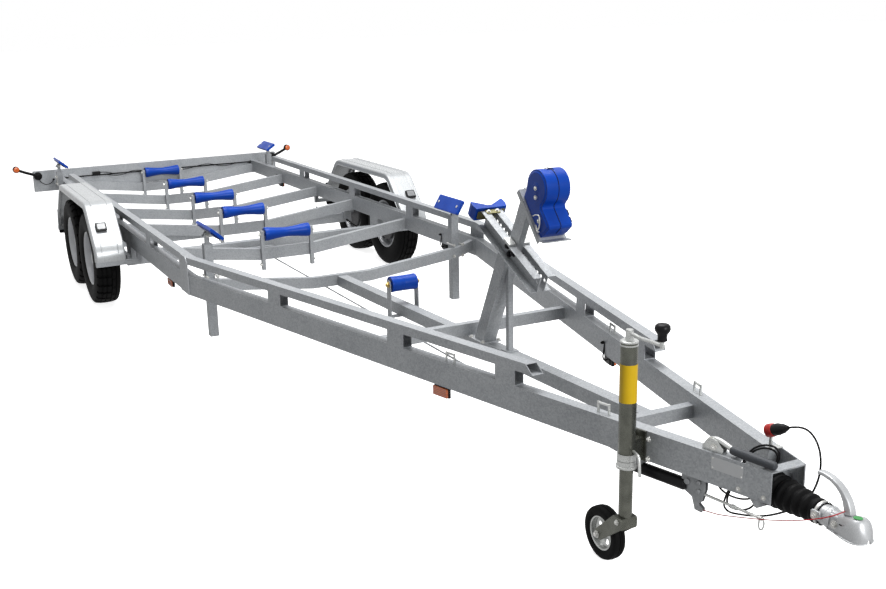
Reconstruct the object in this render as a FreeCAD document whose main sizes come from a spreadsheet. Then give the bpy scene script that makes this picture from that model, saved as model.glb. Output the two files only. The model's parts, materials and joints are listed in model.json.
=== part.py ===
import FreeCAD, Part
import math
import os
from FreeCAD import Placement, Rotation, Vector

# A tandem-axle trailer for a boat, standing on its four road wheels and its jockey wheel.
# X runs forward to the coupling, Y to the left, Z up. Places along X are written from midway
# between the two axles, and the last step puts the origin on the ground under the middle of
# the overall length. All sizes are in millimetres. Heights are given as drops below, or rises
# above, the top of the main rails, which everything but the wheels hangs from.

SIZES = {
    # main rails: rear part parallel, front part drawn in to the coupling
    "rail_height": 110,
    "rail_width": 50,
    "rail_wall": 4,
    "rail_top_height": 521,
    "frame_half_width": 952,
    "frame_rear": 2505,
    "bend_rear": 1916,
    "bend_front": 2083,
    "bend_plate_wall": 6,
    "bend_plate_corner": 30,
    "nose_front": 5713,
    "nose_half_width": 72,
    "nose_length": 150,
    "nose_wall": 5,
    "nose_bridge_length": 42,
    # guard rails on open spacers above the main rails
    "guard_height": 40,
    "guard_wall": 3,
    "guard_gap": 65,
    "guard_rear_inset": 675,
    "guard_front_inset": 1013,
    "guard_end_slant": 36,
    "spacer_length": 110,
    "spacer_wall": 3,
    # lashing loops on the drawn-in rails
    "loop_bar": 5,
    "loop_length": 60,
    "loop_rise": 40,
    "loop_1_inset": 1503,
    "loop_2_inset": 693,
    # side markers under the rails
    "marker_length": 90,
    "marker_height": 42,
    "marker_depth": 24,
    "marker_plate": 4,
    "marker_drop": 8,
    "marker_1": -1708,
    "marker_2": 1596,
    "marker_front_inset": 1543,
    # beams across the keel line, with a level middle and rising arms
    "keel_beam_height": 78,
    "keel_beam_depth": 40,
    "keel_flat_half": 190,
    "keel_flat_drop": 125,
    "keel_arm_end_drop": 35,
    "bend_beam_inset": 53,
    "bend_beam_height": 66,
    "bend_beam_drop": 122,
    "bend_beam_knee_inset": 102,
    "bend_beam_knee_drop": 51,
    "bend_beam_end_drop": 18,
    "winch_beam_front": 3660,
    "winch_beam_height": 56,
    "nose_beam_inset": 718,
    "nose_beam_height": 50,
    "nose_beam_drop": 40,
    # spine along the middle, rising to the front
    "spine_width": 60,
    "spine_height": 62,
    "spine_rear_drop": 131,
    "spine_front_drop": 46,
    # tall rear beam that carries the outline lamps
    "rear_beam_height": 187,
    "rear_beam_rise": 61,
    "rear_beam_depth": 40,
    "rear_beam_overhang": 208,
    "rear_beam_wall": 3,
    # keel rollers and their uprights
    "roller_length": 320,
    "roller_end_radius": 46,
    "roller_waist_radius": 36,
    "roller_bore_radius": 8.05,
    "roller_pin_radius": 8,
    "roller_axis_drop": 25,
    "roller_1_inset": 65,
    "roller_2": -1570,
    "roller_3": -695,
    "roller_4": 85,
    "roller_5": 1052,
    "roller_gap": 3,
    "upright_width": 24,
    "upright_depth": 26,
    "upright_tail": 65,
    "upright_head_drop": 1,
    "spine_roller": 2886,
    "spine_roller_rise": 5,
    "spine_roller_length": 150,
    "spine_roller_radius": 43,
    "spine_fork_wall": 6,
    "spine_fork_depth": 44,
    # hull pads on four posts
    "pad_post_side": 50,
    "pad_post_inset": 152,
    "pad_front_foot_drop": 401,
    "pad_front_pivot_rise": 199,
    "pad_rear_foot_drop": 41,
    "pad_rear_pivot_rise": 139,
    "pad_rear_inset": 335,
    "pad_length": 310,
    "pad_width": 96,
    "pad_thick": 18,
    "pad_edge": 30,
    "pad_tilt_rear_left": 34,
    "pad_tilt_rear_right": 40,
    "pad_tilt_front_left": 58,
    "pad_tilt_front_right": 42,
    "pad_pin_radius": 6,
    "pad_bore_radius": 6.05,
    # road wheels
    "wheel_spacing": 655,
    "wheel_offset": 177,
    "tyre_radius": 320,
    "tyre_width": 174,
    "tyre_bead_radius": 178,
    "rim_width": 130,
    "rim_wall": 8,
    "hub_radius": 45,
    "hub_bore_radius": 20.05,
    "stub_radius": 20,
    "axle_tube_side": 70,
    "axle_tube_drop": 66,
    "arm_length": 150,
    "arm_width": 24,
    # mudguards over both wheels of a side
    "mudguard_gap": 75,
    "mudguard_width": 197,
    "mudguard_clearance": 90,
    "mudguard_sheet": 3,
    "mudguard_centre": -44,
    "mudguard_flat_half": 510,
    "mudguard_fold_half": 785,
    "mudguard_fold_rise": 79,
    "mudguard_foot_drop": 45,
    "mudguard_skirt": 42,
    "flap_length": 190,
    "flap_wall": 4,
    "stay_side": 30,
    # jockey wheel
    "jockey_inset": 489,
    "jockey_clamp_reach": 39.5,
    "jockey_tube_radius": 30,
    "jockey_tube_wall": 4,
    "jockey_tube_rise": 329,
    "jockey_tube_drop": 11,
    "jockey_ring_radius": 37,
    "jockey_ring_height": 8,
    "jockey_inner_radius": 24,
    "jockey_inner_length": 430,
    "jockey_inner_foot": 115,
    "jockey_wheel_radius": 100,
    "jockey_wheel_width": 50,
    "jockey_trail": 118,
    "jockey_fork_wall": 5,
    "jockey_pin_radius": 6,
    "crank_reach": 180,
    "crank_rise": 34,
    "knob_radius": 26,
    "knob_height": 48,
    # winch stand
    "winch_post_side": 70,
    "winch_post_lean": 26.3,
    "winch_post_inset": 1936,
    "winch_post_length": 512,
    "winch_strut_side": 25,
    "winch_strut_forward": 225,
    "channel_height": 80,
    "channel_flange": 38,
    "channel_wall": 4,
    "channel_spread": 15,
    "channel_rear": 215,
    "channel_front": 280,
    "channel_hole": 11,
    "channel_hole_pitch": 60,
    "stem_side": 70,
    "stem_forward": 28,
    "winch_plate_forward": 142,
    "winch_plate_rise": 820,
    "winch_plate_lean": 49.8,
    "winch_plate_length": 250,
    "winch_plate_half_width": 65,
    "winch_plate_wall": 5,
    "winch_plate_lip": 40,
    "housing_half_width": 56,
    "drum_lobe_radius": 77,
    "drum_lobe_height": 109,
    "drum_lobe_rear": 59,
    "gear_lobe_radius": 44,
    "gear_lobe_height": 44,
    "gear_lobe_front": 57,
    "housing_rear": 87,
    "housing_front": 110,
    "snubber_half_width": 84,
    "snubber_depth": 62,
    "snubber_height": 64,
    # coupling
    "coupling_drop": 91,
    "ball_radius": 25.2,
    "socket_depth": 27,
    "coupling_reach": 337,
    "head_radius": 41,
    "head_height": 72,
    "neck_half_width": 30,
    "clamp_radius": 34,
    "clamp_length": 62,
    "shaft_radius": 25,
    "shaft_length": 250,
    "guide_wall": 10,
    "guide_inset": 68,
    "bellows_rear_radius": 60,
    "bellows_front_radius": 38,
    "bellows_length": 225,
    "coupling_lever_length": 126,
    "coupling_lever_rise": 109,
    "coupling_lever_width": 26,
    # handbrake lever and the brake linkage under the right rail
    "handbrake_inset": 225,
    "handbrake_length": 228,
    "handbrake_grip_radius": 14,
    "handbrake_wall": 6,
    "spring_radius": 22,
    "spring_length": 240,
    "spring_inset": 558,
    "spring_side": 30,
    "linkage_drop": 152,
    "linkage_wall": 8,
    "brake_rod_radius": 5,
    # plug parked on the left rail
    "plug_radius": 20,
    "plug_length": 62,
    "holder_radius": 23,
    "holder_length": 26,
    "holder_post": 8,
    # cables
    "plug_cable_radius": 3.5,
    "breakaway_radius": 1.8,
    "harness_radius": 6,
    # lamps on the rear beam
    "tail_lamp_length": 240,
    "tail_lamp_height": 130,
    "tail_lamp_depth": 50,
    "tail_lamp_inset": 200,
    "lamp_foot_radius": 36,
    "lamp_foot_length": 60,
    "lamp_foot_inset": 38,
    "lamp_arm_side": 24,
    "lamp_reach": 178,
    "lamp_rise": 68,
    "lamp_head_radius": 30,
    "lamp_head_length": 60,
    # faces of different bodies that rest on each other
    "flat_gap": 0.3,
    # shafts in their holes
    "running_gap": 0.05,
}

# sides of the turned pieces, which are made of flat facets
WHEEL_SIDES = 28
SMALL_SIDES = 16
BAR_SIDES = 8
CABLE_SIDES = 6

doc = FreeCAD.newDocument("BoatTrailer")
sheet = doc.addObject("Spreadsheet::Sheet", "Sizes")
for row, (alias, number) in enumerate(SIZES.items(), start=1):
    sheet.set(f"A{row}", alias)
    sheet.set(f"B{row}", str(number))
    sheet.setAlias(f"B{row}", alias)
doc.recompute()


class Sizes:
    """Reads the driving dimensions back from the sheet by name."""

    def __getattr__(self, alias):
        return float(sheet.get(alias))


size = Sizes()
PLANE_ROLES = {"XY": "XY_Plane", "XZ": "XZ_Plane", "YZ": "YZ_Plane"}
SIDES = {"left": 1, "right": -1}
ALONG_X = Vector(1, 0, 0)
ALONG_Y = Vector(0, 1, 0)
ALONG_Z = Vector(0, 0, 1)
subparts = []


def new_body(label, placement=None):
    """Body that is a sub-part of its own."""
    body = loose_body(label, placement)
    subparts.append(body)
    return body


def loose_body(name, placement=None):
    """Body that becomes a piece of another sub-part."""
    body = doc.addObject("PartDesign::Body", name)
    body.Label = name
    if placement is not None:
        body.Placement = placement
    return body


def closed(points):
    """Straight edges through the points and back to the first."""
    ends = points[1:] + points[:1]
    return [
        Part.LineSegment(Vector(a[0], a[1], 0), Vector(b[0], b[1], 0))
        for a, b in zip(points, ends)
    ]


def circle(x, y, radius):
    return [Part.Circle(Vector(x, y, 0), Vector(0, 0, 1), radius)]


def new_sketch(body, plane, loops, offset=0.0):
    number = len(body.Group)
    sketch = body.newObject("Sketcher::SketchObject", f"{body.Label}_sketch_{number}")
    role = PLANE_ROLES[plane]
    support = [f for f in body.Origin.OriginFeatures if f.Role == role][0]
    sketch.AttachmentSupport = [(support, "")]
    sketch.MapMode = "FlatFace"
    sketch.AttachmentOffset = Placement(Vector(0, 0, offset), Rotation())
    for loop in loops:
        sketch.addGeometry(loop, False)
    return sketch


def pad(body, plane, loops, length, offset=0.0, middle=False, back=False):
    """Adds a prism; length is an expression in the sheet's names."""
    sketch = new_sketch(body, plane, loops, offset)
    feature = body.newObject("PartDesign::Pad", f"{body.Label}_pad_{len(body.Group)}")
    feature.Profile = sketch
    feature.setExpression("Length", bound(length))
    feature.Midplane = middle
    feature.Reversed = back
    return feature


def pocket(body, plane, loops, length, offset=0.0, middle=False, back=False):
    """Cuts a prism; length is an expression in the sheet's names."""
    sketch = new_sketch(body, plane, loops, offset)
    feature = body.newObject("PartDesign::Pocket", f"{body.Label}_pocket_{len(body.Group)}")
    feature.Profile = sketch
    feature.setExpression("Length", bound(length))
    feature.Midplane = middle
    feature.Reversed = back
    return feature


def bound(expression):
    """Puts the sheet's name before each alias in an expression."""
    words = expression.replace("(", " ( ").replace(")", " ) ").split()
    return " ".join("Sizes." + word if word in SIZES else word for word in words)


def value_of(expression):
    """Number that an expression in the sheet's names gives."""
    return float(sheet.evalExpression(bound(expression)))


def rectangle(x0, y0, x1, y1):
    return closed([(x0, y0), (x1, y0), (x1, y1), (x0, y1)])


def box(name, length, width, height, centre, turn=None):
    """Box about its centre, its three sizes bound to the sheet."""
    item = doc.addObject("Part::Box", name)
    item.setExpression("Length", bound(length))
    item.setExpression("Width", bound(width))
    item.setExpression("Height", bound(height))
    half = Vector(value_of(length), value_of(width), value_of(height)) / 2
    rotation = turn or Rotation()
    item.Placement = Placement(Vector(*centre) - rotation.multVec(half), rotation)
    return item


def rod(name, radius, length, centre, direction):
    """Round bar about its centre, along a direction."""
    item = doc.addObject("Part::Cylinder", name)
    item.setExpression("Radius", bound(radius))
    item.setExpression("Height", bound(length))
    rotation = Rotation(ALONG_Z, Vector(*direction))
    start = Vector(*centre) - rotation.multVec(Vector(0, 0, value_of(length) / 2))
    item.Placement = Placement(start, rotation)
    return item


def bar(name, radius, start, end, sides=BAR_SIDES):
    """Slim bar with flat facets from one place to another."""
    run = end - start
    item = doc.addObject("Part::Prism", name)
    item.Polygon = sides
    item.setExpression("Circumradius", bound(radius))
    item.Height = run.Length
    item.Placement = Placement(start, Rotation(ALONG_Z, run))
    return item


def turned(name, stations, sides, axis):
    """Solid with flat facets through rings of corners, each ring at its place along an axis."""
    step = 2 * math.pi / sides
    tip = Rotation(ALONG_Z, axis)
    rings = []
    for place, radius in stations:
        reach = radius / math.cos(step / 2)
        ring = []
        for number in range(sides):
            angle = step * (number + 0.5)
            corner = Vector(reach * math.cos(angle), reach * math.sin(angle), place)
            ring.append(tip.multVec(corner))
        rings.append(ring)
    loops = [rings[0][::-1], rings[-1]]
    for low, high in zip(rings, rings[1:]):
        for number in range(sides):
            after = (number + 1) % sides
            loops.append([low[number], low[after], high[after], high[number]])
    faces = [Part.Face(Part.makePolygon(loop + loop[:1])) for loop in loops]
    solid = Part.makeSolid(Part.makeShell(faces))
    if solid.Volume < 0:
        solid.reverse()
    item = doc.addObject("Part::Feature", name)
    item.Shape = solid
    return item


def cut(name, base, tool):
    item = doc.addObject("Part::Cut", name)
    item.Base = base
    item.Tool = tool
    return item


def fuse(name, shapes):
    item = doc.addObject("Part::MultiFuse", name)
    item.Shapes = shapes
    return item


def group(name, links):
    """One sub-part made of like pieces that don't touch."""
    item = doc.addObject("Part::Compound", name)
    item.Links = links
    return item


def subpart(item, label, placement=None):
    item.Label = label
    if placement is not None:
        item.Placement = placement
    subparts.append(item)
    return item


# where the rails run

draw_in = math.atan2(
    size.frame_half_width - size.nose_half_width, size.nose_front - size.bend_front
)
nose_rear = size.nose_front - size.nose_length
rail_top = size.rail_top_height
rail_foot = rail_top - size.rail_height
frame_inner = size.frame_half_width - size.rail_width
guard_rear = size.guard_rear_inset - size.frame_rear
guard_front = size.nose_front - size.guard_front_inset


def rail_outer(x):
    """Distance of a rail's outer face from the middle plane."""
    if x <= size.bend_front:
        return size.frame_half_width
    return size.frame_half_width - (x - size.bend_front) * math.tan(draw_in)


def rail_inner(x):
    corner = size.bend_front - size.rail_width * math.tan(draw_in / 2)
    if x <= corner:
        return frame_inner
    return frame_inner - (x - corner) * math.tan(draw_in)


def rail_centre(x):
    return (rail_outer(x) + rail_inner(x)) / 2


def rail_turn(x, side):
    """Turn of a rail at a place along X, about Z."""
    angle = math.degrees(draw_in) if x > size.bend_front else 0
    return Rotation(ALONG_Z, -side * angle)


def rail_plan(rear, front, side, inset=0.0):
    """Plan outline of a rail from rear to front, optionally shrunk by a wall."""
    turn = math.tan(draw_in / 2)
    slope = math.cos(draw_in)
    outer_bend = size.bend_front - inset * turn
    inner_bend = size.bend_front - (size.rail_width - inset) * turn
    half = size.frame_half_width
    points = [
        (rear, half - inset),
        (outer_bend, half - inset),
        (front, rail_outer(front) - inset / slope),
        (front, rail_inner(front) + inset / slope),
        (inner_bend, half - size.rail_width + inset),
        (rear, half - size.rail_width + inset),
    ]
    return closed([(x, side * y) for x, y in points])


def main_rail(name, side):
    """Closed box rail from the rear beam to the nose."""
    body = new_body(f"main_rail_{name}")
    pad(body, "XY", [rail_plan(-size.frame_rear, nose_rear, side)], "rail_height", rail_foot)
    wall = size.rail_wall
    hollow = rail_plan(wall - size.frame_rear, nose_rear - wall, side, wall)
    pocket(body, "XY", [hollow], "rail_height - 2 * rail_wall", rail_foot + wall, back=True)


def guard_rail(name, side):
    """Tube above a main rail, open and cut on the slant at its front end."""
    foot = rail_top + size.guard_gap
    head = foot + size.guard_height
    body = new_body(f"guard_rail_{name}")
    pad(body, "XY", [rail_plan(guard_rear, guard_front, side)], "guard_height", foot)
    wall = size.guard_wall
    hollow = rail_plan(guard_rear + wall, guard_front + wall, side, wall)
    pocket(body, "XY", [hollow], "guard_height - 2 * guard_wall", foot + wall, back=True)
    slant = closed(
        [
            (guard_front - size.guard_end_slant, head),
            (guard_front + size.guard_end_slant, head),
            (guard_front + size.guard_end_slant, foot),
            (guard_front, foot),
        ]
    )
    pocket(body, "XZ", [slant], "frame_half_width * 2", middle=True)


GUARD_SPACER_shares = [0.12, 0.293, 0.454, 0.736, 0.882, 0.985]


def guard_spacers():
    """Short open tubes between each main rail and its guard rail."""
    middle = rail_top + size.guard_gap / 2
    tubes = []
    for name, side in SIDES.items():
        for number, share in enumerate(GUARD_SPACER_shares, start=1):
            reach = guard_front - size.spacer_length / 2
            x = guard_rear + share * (reach - guard_rear)
            centre = (x, side * rail_centre(x), middle)
            turn = rail_turn(x, side)
            key = f"{name}_{number}"
            sizes = ("spacer_length", "rail_width", "guard_gap")
            outer = box(f"spacer_{key}", *sizes, centre, turn)
            bore = box(
                f"spacer_bore_{key}",
                "spacer_length * 2",
                "rail_width - 2 * spacer_wall",
                "guard_gap - 2 * spacer_wall",
                centre,
                turn,
            )
            tubes.append(cut(f"spacer_tube_{key}", outer, bore))
    subpart(group("guard_spacer_group", tubes), "guard_spacers")


def bend_plates():
    """Gusset on the outer face of each rail at its bend, up to the guard rail's top."""
    head = rail_top + size.guard_gap + size.guard_height
    corner = size.bend_plate_corner
    outline = closed(
        [
            (size.bend_rear, rail_foot),
            (size.bend_front, rail_foot),
            (size.bend_front, head - corner),
            (size.bend_front - corner, head),
            (size.bend_rear + corner, head),
            (size.bend_rear, head - corner),
        ]
    )
    plates = []
    for name, side in SIDES.items():
        body = loose_body(f"bend_plate_{name}")
        start = -side * size.frame_half_width
        pad(body, "XZ", [outline], "bend_plate_wall", start, back=side > 0)
        plates.append(body)
    subpart(group("bend_plate_group", plates), "bend_plates")


def lashing_loops():
    """Bent bars on top of the drawn-in rails."""
    loops = []
    half = size.loop_length / 2 - size.loop_bar
    head = rail_top + size.loop_rise - size.loop_bar
    for name, side in SIDES.items():
        for number in (1, 2):
            x = size.nose_front - getattr(size, f"loop_{number}_inset")
            turn = rail_turn(x, side)
            middle = Vector(x, side * rail_centre(x), 0)
            feet = [middle + turn.multVec(Vector(sign * half, 0, rail_top)) for sign in (-1, 1)]
            heads = [middle + turn.multVec(Vector(sign * half, 0, head)) for sign in (-1, 1)]
            key = f"{name}_{number}"
            legs = [
                bar(f"loop_leg_{key}_{end}", "loop_bar", foot, foot + ALONG_Z * size.loop_rise)
                for end, foot in enumerate(feet)
            ]
            top = bar(f"loop_top_{key}", "loop_bar", *heads)
            loops.append(fuse(f"loop_{key}", [*legs, top]))
    subpart(group("lashing_loop_group", loops), "lashing_loops")


def marker_lamps():
    """Side markers, each on a plate that hangs under the outer edge of a rail."""
    lamps = []
    places = [size.marker_1, size.marker_2, size.nose_front - size.marker_front_inset]
    head = rail_foot - size.flat_gap
    for name, side in SIDES.items():
        for number, x in enumerate(places, start=1):
            turn = rail_turn(x, side)
            key = f"{name}_{number}"
            face = Vector(x, side * rail_outer(x), 0)
            inward = turn.multVec(Vector(0, -side, 0))
            plate_drop = size.marker_drop + size.marker_height
            behind = face + inward * (size.marker_depth + size.marker_plate / 2)
            plate = box(
                f"marker_plate_{key}",
                "marker_length * 0.6",
                "marker_plate",
                "marker_drop + marker_height",
                behind + ALONG_Z * (head - plate_drop / 2),
                turn,
            )
            lens = box(
                f"marker_lens_{key}",
                "marker_length",
                "marker_depth",
                "marker_height",
                face + inward * (size.marker_depth / 2) + ALONG_Z * (head - plate_drop + size.marker_height / 2),
                turn,
            )
            lamps.append(fuse(f"marker_{key}", [plate, lens]))
    subpart(group("marker_lamp_group", lamps), "marker_lamps")


roller_places = [
    size.roller_1_inset - size.frame_rear,
    size.roller_2,
    size.roller_3,
    size.roller_4,
    size.roller_5,
]
roller_axis = rail_top - size.roller_axis_drop
keel_top = rail_top - size.keel_flat_drop


def beam_outline(knees, height):
    """Front view of a beam from its top line's points on the left half."""
    right = [(-y, z) for y, z in knees]
    top = right[::-1] + knees
    return closed(top + [(y, z - height) for y, z in top[::-1]])


def keel_beams():
    knees = [
        (size.keel_flat_half, keel_top),
        (frame_inner, rail_top - size.keel_arm_end_drop),
    ]
    outline = beam_outline(knees, size.keel_beam_height)
    beams = []
    for number, x in enumerate(roller_places, start=1):
        body = loose_body(f"keel_beam_{number}")
        rear = x - size.upright_depth / 2 - size.keel_beam_depth
        pad(body, "YZ", [outline], "keel_beam_depth", rear)
        beams.append(body)
    subpart(group("keel_beam_group", beams), "keel_beams")


def roller_brackets():
    """A pair of uprights and the pin between them in front of each keel beam."""
    foot = keel_top - size.keel_beam_height - size.upright_tail
    head = rail_top - size.upright_head_drop
    reach = size.roller_length / 2 + size.roller_gap + size.upright_width / 2
    tall = "keel_beam_height + upright_tail + keel_flat_drop - upright_head_drop"
    brackets = []
    for number, x in enumerate(roller_places, start=1):
        pieces = [
            box(
                f"upright_{number}_{name}",
                "upright_depth",
                "upright_width",
                tall,
                (x, side * reach, (foot + head) / 2),
            )
            for name, side in SIDES.items()
        ]
        span = "roller_length + 2 * (roller_gap + upright_width)"
        place = (x, 0, roller_axis)
        pieces.append(rod(f"pin_{number}", "roller_pin_radius", span, place, (0, 1, 0)))
        brackets.append(fuse(f"bracket_{number}", pieces))
    subpart(group("roller_bracket_group", brackets), "roller_brackets")


# places along a roller as shares of its half length, with the share of the way that the
# surface has come from the waist out to the end radius
KEEL_ROLLER_shares = [(-1, 0.96), (-0.86, 1), (0, 0), (0.86, 1), (1, 0.96)]
SPINE_ROLLER_shares = [(-1, 0.6), (-0.8, 1), (0, 0.4), (0.8, 1), (1, 0.6)]
ROLLER_WAIST_share = 0.94


def roller(name, length, waist, end, shares):
    """Waisted roller about the origin, on a bore for its pin."""
    half = length / 2
    stations = [(along * half, waist + share * (end - waist)) for along, share in shares]
    solid = turned(f"{name}_outside", stations, SMALL_SIDES, ALONG_Y)
    bore = rod(f"{name}_bore", "roller_bore_radius", "roller_length * 2", (0, 0, 0), (0, 1, 0))
    return cut(f"{name}_turned", solid, bore)


def keel_rollers():
    """One shape, modelled once and set down over each keel beam."""
    waist = size.roller_waist_radius
    end = size.roller_end_radius
    shape = roller("long_roller", size.roller_length, waist, end, KEEL_ROLLER_shares)
    for number, x in enumerate(roller_places, start=1):
        label = f"keel_roller_{number}"
        place = Placement(Vector(x, 0, roller_axis), Rotation())
        subpart(group(f"{label}_placed", [shape]), label, place)


spine_rear = size.bend_front - size.bend_beam_inset
spine_front = size.nose_front - size.nose_beam_inset


def spine_top(x):
    """Height of the spine's top face, which climbs to the front."""
    rise = size.spine_rear_drop - size.spine_front_drop
    share = (x - spine_rear) / (spine_front - spine_rear)
    return rail_top - size.spine_rear_drop + rise * share


def spine_roller():
    end = size.spine_roller_radius
    waist = end * ROLLER_WAIST_share
    shape = roller("short_roller", size.spine_roller_length, waist, end, SPINE_ROLLER_shares)
    place = Vector(size.spine_roller, 0, rail_top + size.spine_roller_rise)
    subpart(shape, "spine_roller", Placement(place, Rotation()))


def spine_fork():
    """Two leaning straps beside the spine that carry the short roller, on a saddle under it."""
    half = size.spine_roller_length / 2 + size.roller_gap
    wall = size.spine_fork_wall
    x = size.spine_roller
    axis = rail_top + size.spine_roller_rise
    depth = size.spine_fork_depth / 2
    head = axis + depth
    foot = spine_top(x - depth) - size.spine_height - size.flat_gap
    body = new_body("spine_fork")
    strap = closed(
        [
            (x - depth, foot - wall),
            (x + depth, foot - wall),
            (x + depth, axis),
            (x + depth / 2, head),
            (x - depth / 2, head),
            (x - depth, axis),
        ]
    )
    pad(body, "XZ", [strap], "spine_fork_wall", half)
    pad(body, "XZ", [strap], "spine_fork_wall", -half, back=True)
    across = "spine_roller_length + 2 * (roller_gap + spine_fork_wall)"
    pad(body, "XZ", [circle(x, axis, size.roller_pin_radius)], across, middle=True)
    saddle = rectangle(x - depth, foot - wall, x + depth, foot)
    pad(body, "XZ", [saddle], across, middle=True)


def spine():
    body = new_body("spine")
    height = size.spine_height
    outline = closed(
        [
            (spine_rear, spine_top(spine_rear)),
            (spine_front, spine_top(spine_front)),
            (spine_front, spine_top(spine_front) - height),
            (spine_rear, spine_top(spine_rear) - height),
        ]
    )
    pad(body, "XZ", [outline], "spine_width", middle=True)


def straight_beam(name, front, height, foot):
    """Level beam between the drawn-in rails."""
    rear = front - size.keel_beam_depth
    body = loose_body(name)
    plan = closed(
        [
            (front, rail_inner(front)),
            (front, -rail_inner(front)),
            (rear, -rail_inner(rear)),
            (rear, rail_inner(rear)),
        ]
    )
    pad(body, "XY", [plan], height, foot)
    return body


def cross_beams():
    """Beam at the bend, beam under the winch stand and small beam at the nose."""
    knees = [
        (size.keel_flat_half, rail_top - size.bend_beam_drop),
        (frame_inner - size.bend_beam_knee_inset, rail_top - size.bend_beam_knee_drop),
        (frame_inner, rail_top - size.bend_beam_end_drop),
    ]
    bend = loose_body("bend_beam")
    outline = beam_outline(knees, size.bend_beam_height)
    pad(bend, "YZ", [outline], "keel_beam_depth", spine_rear - size.keel_beam_depth)
    front = size.winch_beam_front
    winch = straight_beam("winch_beam", front, "winch_beam_height", spine_top(front))
    front = spine_front + size.keel_beam_depth
    foot = rail_top - size.nose_beam_drop - size.nose_beam_height
    nose = straight_beam("nose_beam", front, "nose_beam_height", foot)
    subpart(group("cross_beam_group", [bend, winch, nose]), "cross_beams")


rear_beam_half = size.frame_half_width + size.rear_beam_overhang
rear_beam_middle = rail_top + size.rear_beam_rise - size.rear_beam_height / 2


def rear_beam():
    """Tall hollow plank across the rear ends of the rails."""
    centre = (-size.frame_rear - size.rear_beam_depth / 2, 0, rear_beam_middle)
    wide = "(frame_half_width + rear_beam_overhang) * 2"
    plank = box("rear_plank", "rear_beam_depth", wide, "rear_beam_height", centre)
    hollow = box(
        "rear_hollow",
        "rear_beam_depth - 2 * rear_beam_wall",
        "(frame_half_width + rear_beam_overhang) * 3",
        "rear_beam_height - 2 * rear_beam_wall",
        centre,
    )
    subpart(cut("rear_plank_cut", plank, hollow), "rear_beam")


def pad_places():
    """Where each hull pad's post stands: name, end, side, X, distance from the middle."""
    rear_track = size.frame_half_width + size.flat_gap + size.pad_post_side / 2
    behind = size.keel_beam_depth + size.flat_gap + size.pad_post_side / 2
    places = []
    for name, side in SIDES.items():
        rear = size.pad_rear_inset - size.frame_rear
        places.append((f"rear_{name}", "rear", side, rear, rear_track))
        front_track = size.frame_half_width - size.pad_post_inset
        places.append((f"front_{name}", "front", side, spine_rear - behind, front_track))
    return places


def pad_pivot(end):
    return rail_top + getattr(size, f"pad_{end}_pivot_rise")


def pad_posts():
    """Square posts with a tongue and a pin on top for each hull pad."""
    posts = []
    for name, end, side, x, track in pad_places():
        pivot = pad_pivot(end)
        foot = rail_top - getattr(size, f"pad_{end}_foot_drop")
        head = pivot - size.pad_post_side
        y = side * track
        post = box(
            f"pad_post_{name}",
            "pad_post_side",
            "pad_post_side",
            f"pad_{end}_pivot_rise - pad_post_side + pad_{end}_foot_drop",
            (x, y, (foot + head) / 2),
        )
        tongue = box(
            f"pad_tongue_{name}",
            "pad_post_side / 2",
            "pad_pin_radius * 4",
            "pad_post_side + pad_pin_radius * 2",
            (x, y, pivot - size.pad_post_side / 2 + size.pad_pin_radius),
        )
        pin = rod(f"pad_pin_{name}", "pad_pin_radius", "pad_post_side", (x, y, pivot), (1, 0, 0))
        posts.append(fuse(f"pad_stand_{name}", [post, tongue, pin]))
    subpart(group("pad_post_group", posts), "pad_posts")


def hull_pads():
    """Long pads with drooping edges, each on two lugs that hang it on its post's pin."""
    under = size.pad_pin_radius * 4
    half = size.pad_width / 2
    flat = half - size.pad_edge
    thick = size.pad_thick
    droop = thick / 3
    lug_half = size.pad_pin_radius * 2
    inner = size.pad_post_side / 4 + size.pad_pin_radius / 3
    for name, end, side, x, track in pad_places():
        pivot = Vector(x, side * track, pad_pivot(end))
        tilt = Rotation(ALONG_X, side * getattr(size, f"pad_tilt_{name}"))
        body = new_body(f"hull_pad_{name}", Placement(pivot, tilt))
        section = closed(
            [
                (-half, under - droop),
                (-flat, under),
                (flat, under),
                (half, under - droop),
                (half, under + thick - droop),
                (flat, under + thick),
                (-flat, under + thick),
                (-half, under + thick - droop),
            ]
        )
        pad(body, "YZ", [section], "pad_length", middle=True)
        lug = rectangle(-lug_half, -lug_half, lug_half, under)
        pad(body, "YZ", [lug], "pad_pin_radius", inner)
        pad(body, "YZ", [lug], "pad_pin_radius", -inner, back=True)
        bore = [circle(0, 0, size.pad_bore_radius)]
        pocket(body, "YZ", bore, "pad_post_side", middle=True)


wheel_half_track = size.frame_half_width + size.wheel_offset

# across the tyre as shares of its half width, and from bead to tread as shares of that height
TYRE_SECTION_shares = [(0.80, 0.10), (1, 0.48), (0.97, 0.72), (0.86, 0.90), (0.66, 0.975), (0.3, 1)]
# along the rim's half width, and out from the hub as shares of the bead radius
RIM_DISH_shares = [(0.24, 0.42), (0.34, 0.80), (0.66, 0.90), (1, 0.94)]
RIM_BACK_shares = [(0.12, 0.42), (0.16, 0.80), (-0.5, 0.88), (-1, 0.94)]
HUB_END_share = 0.8


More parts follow.
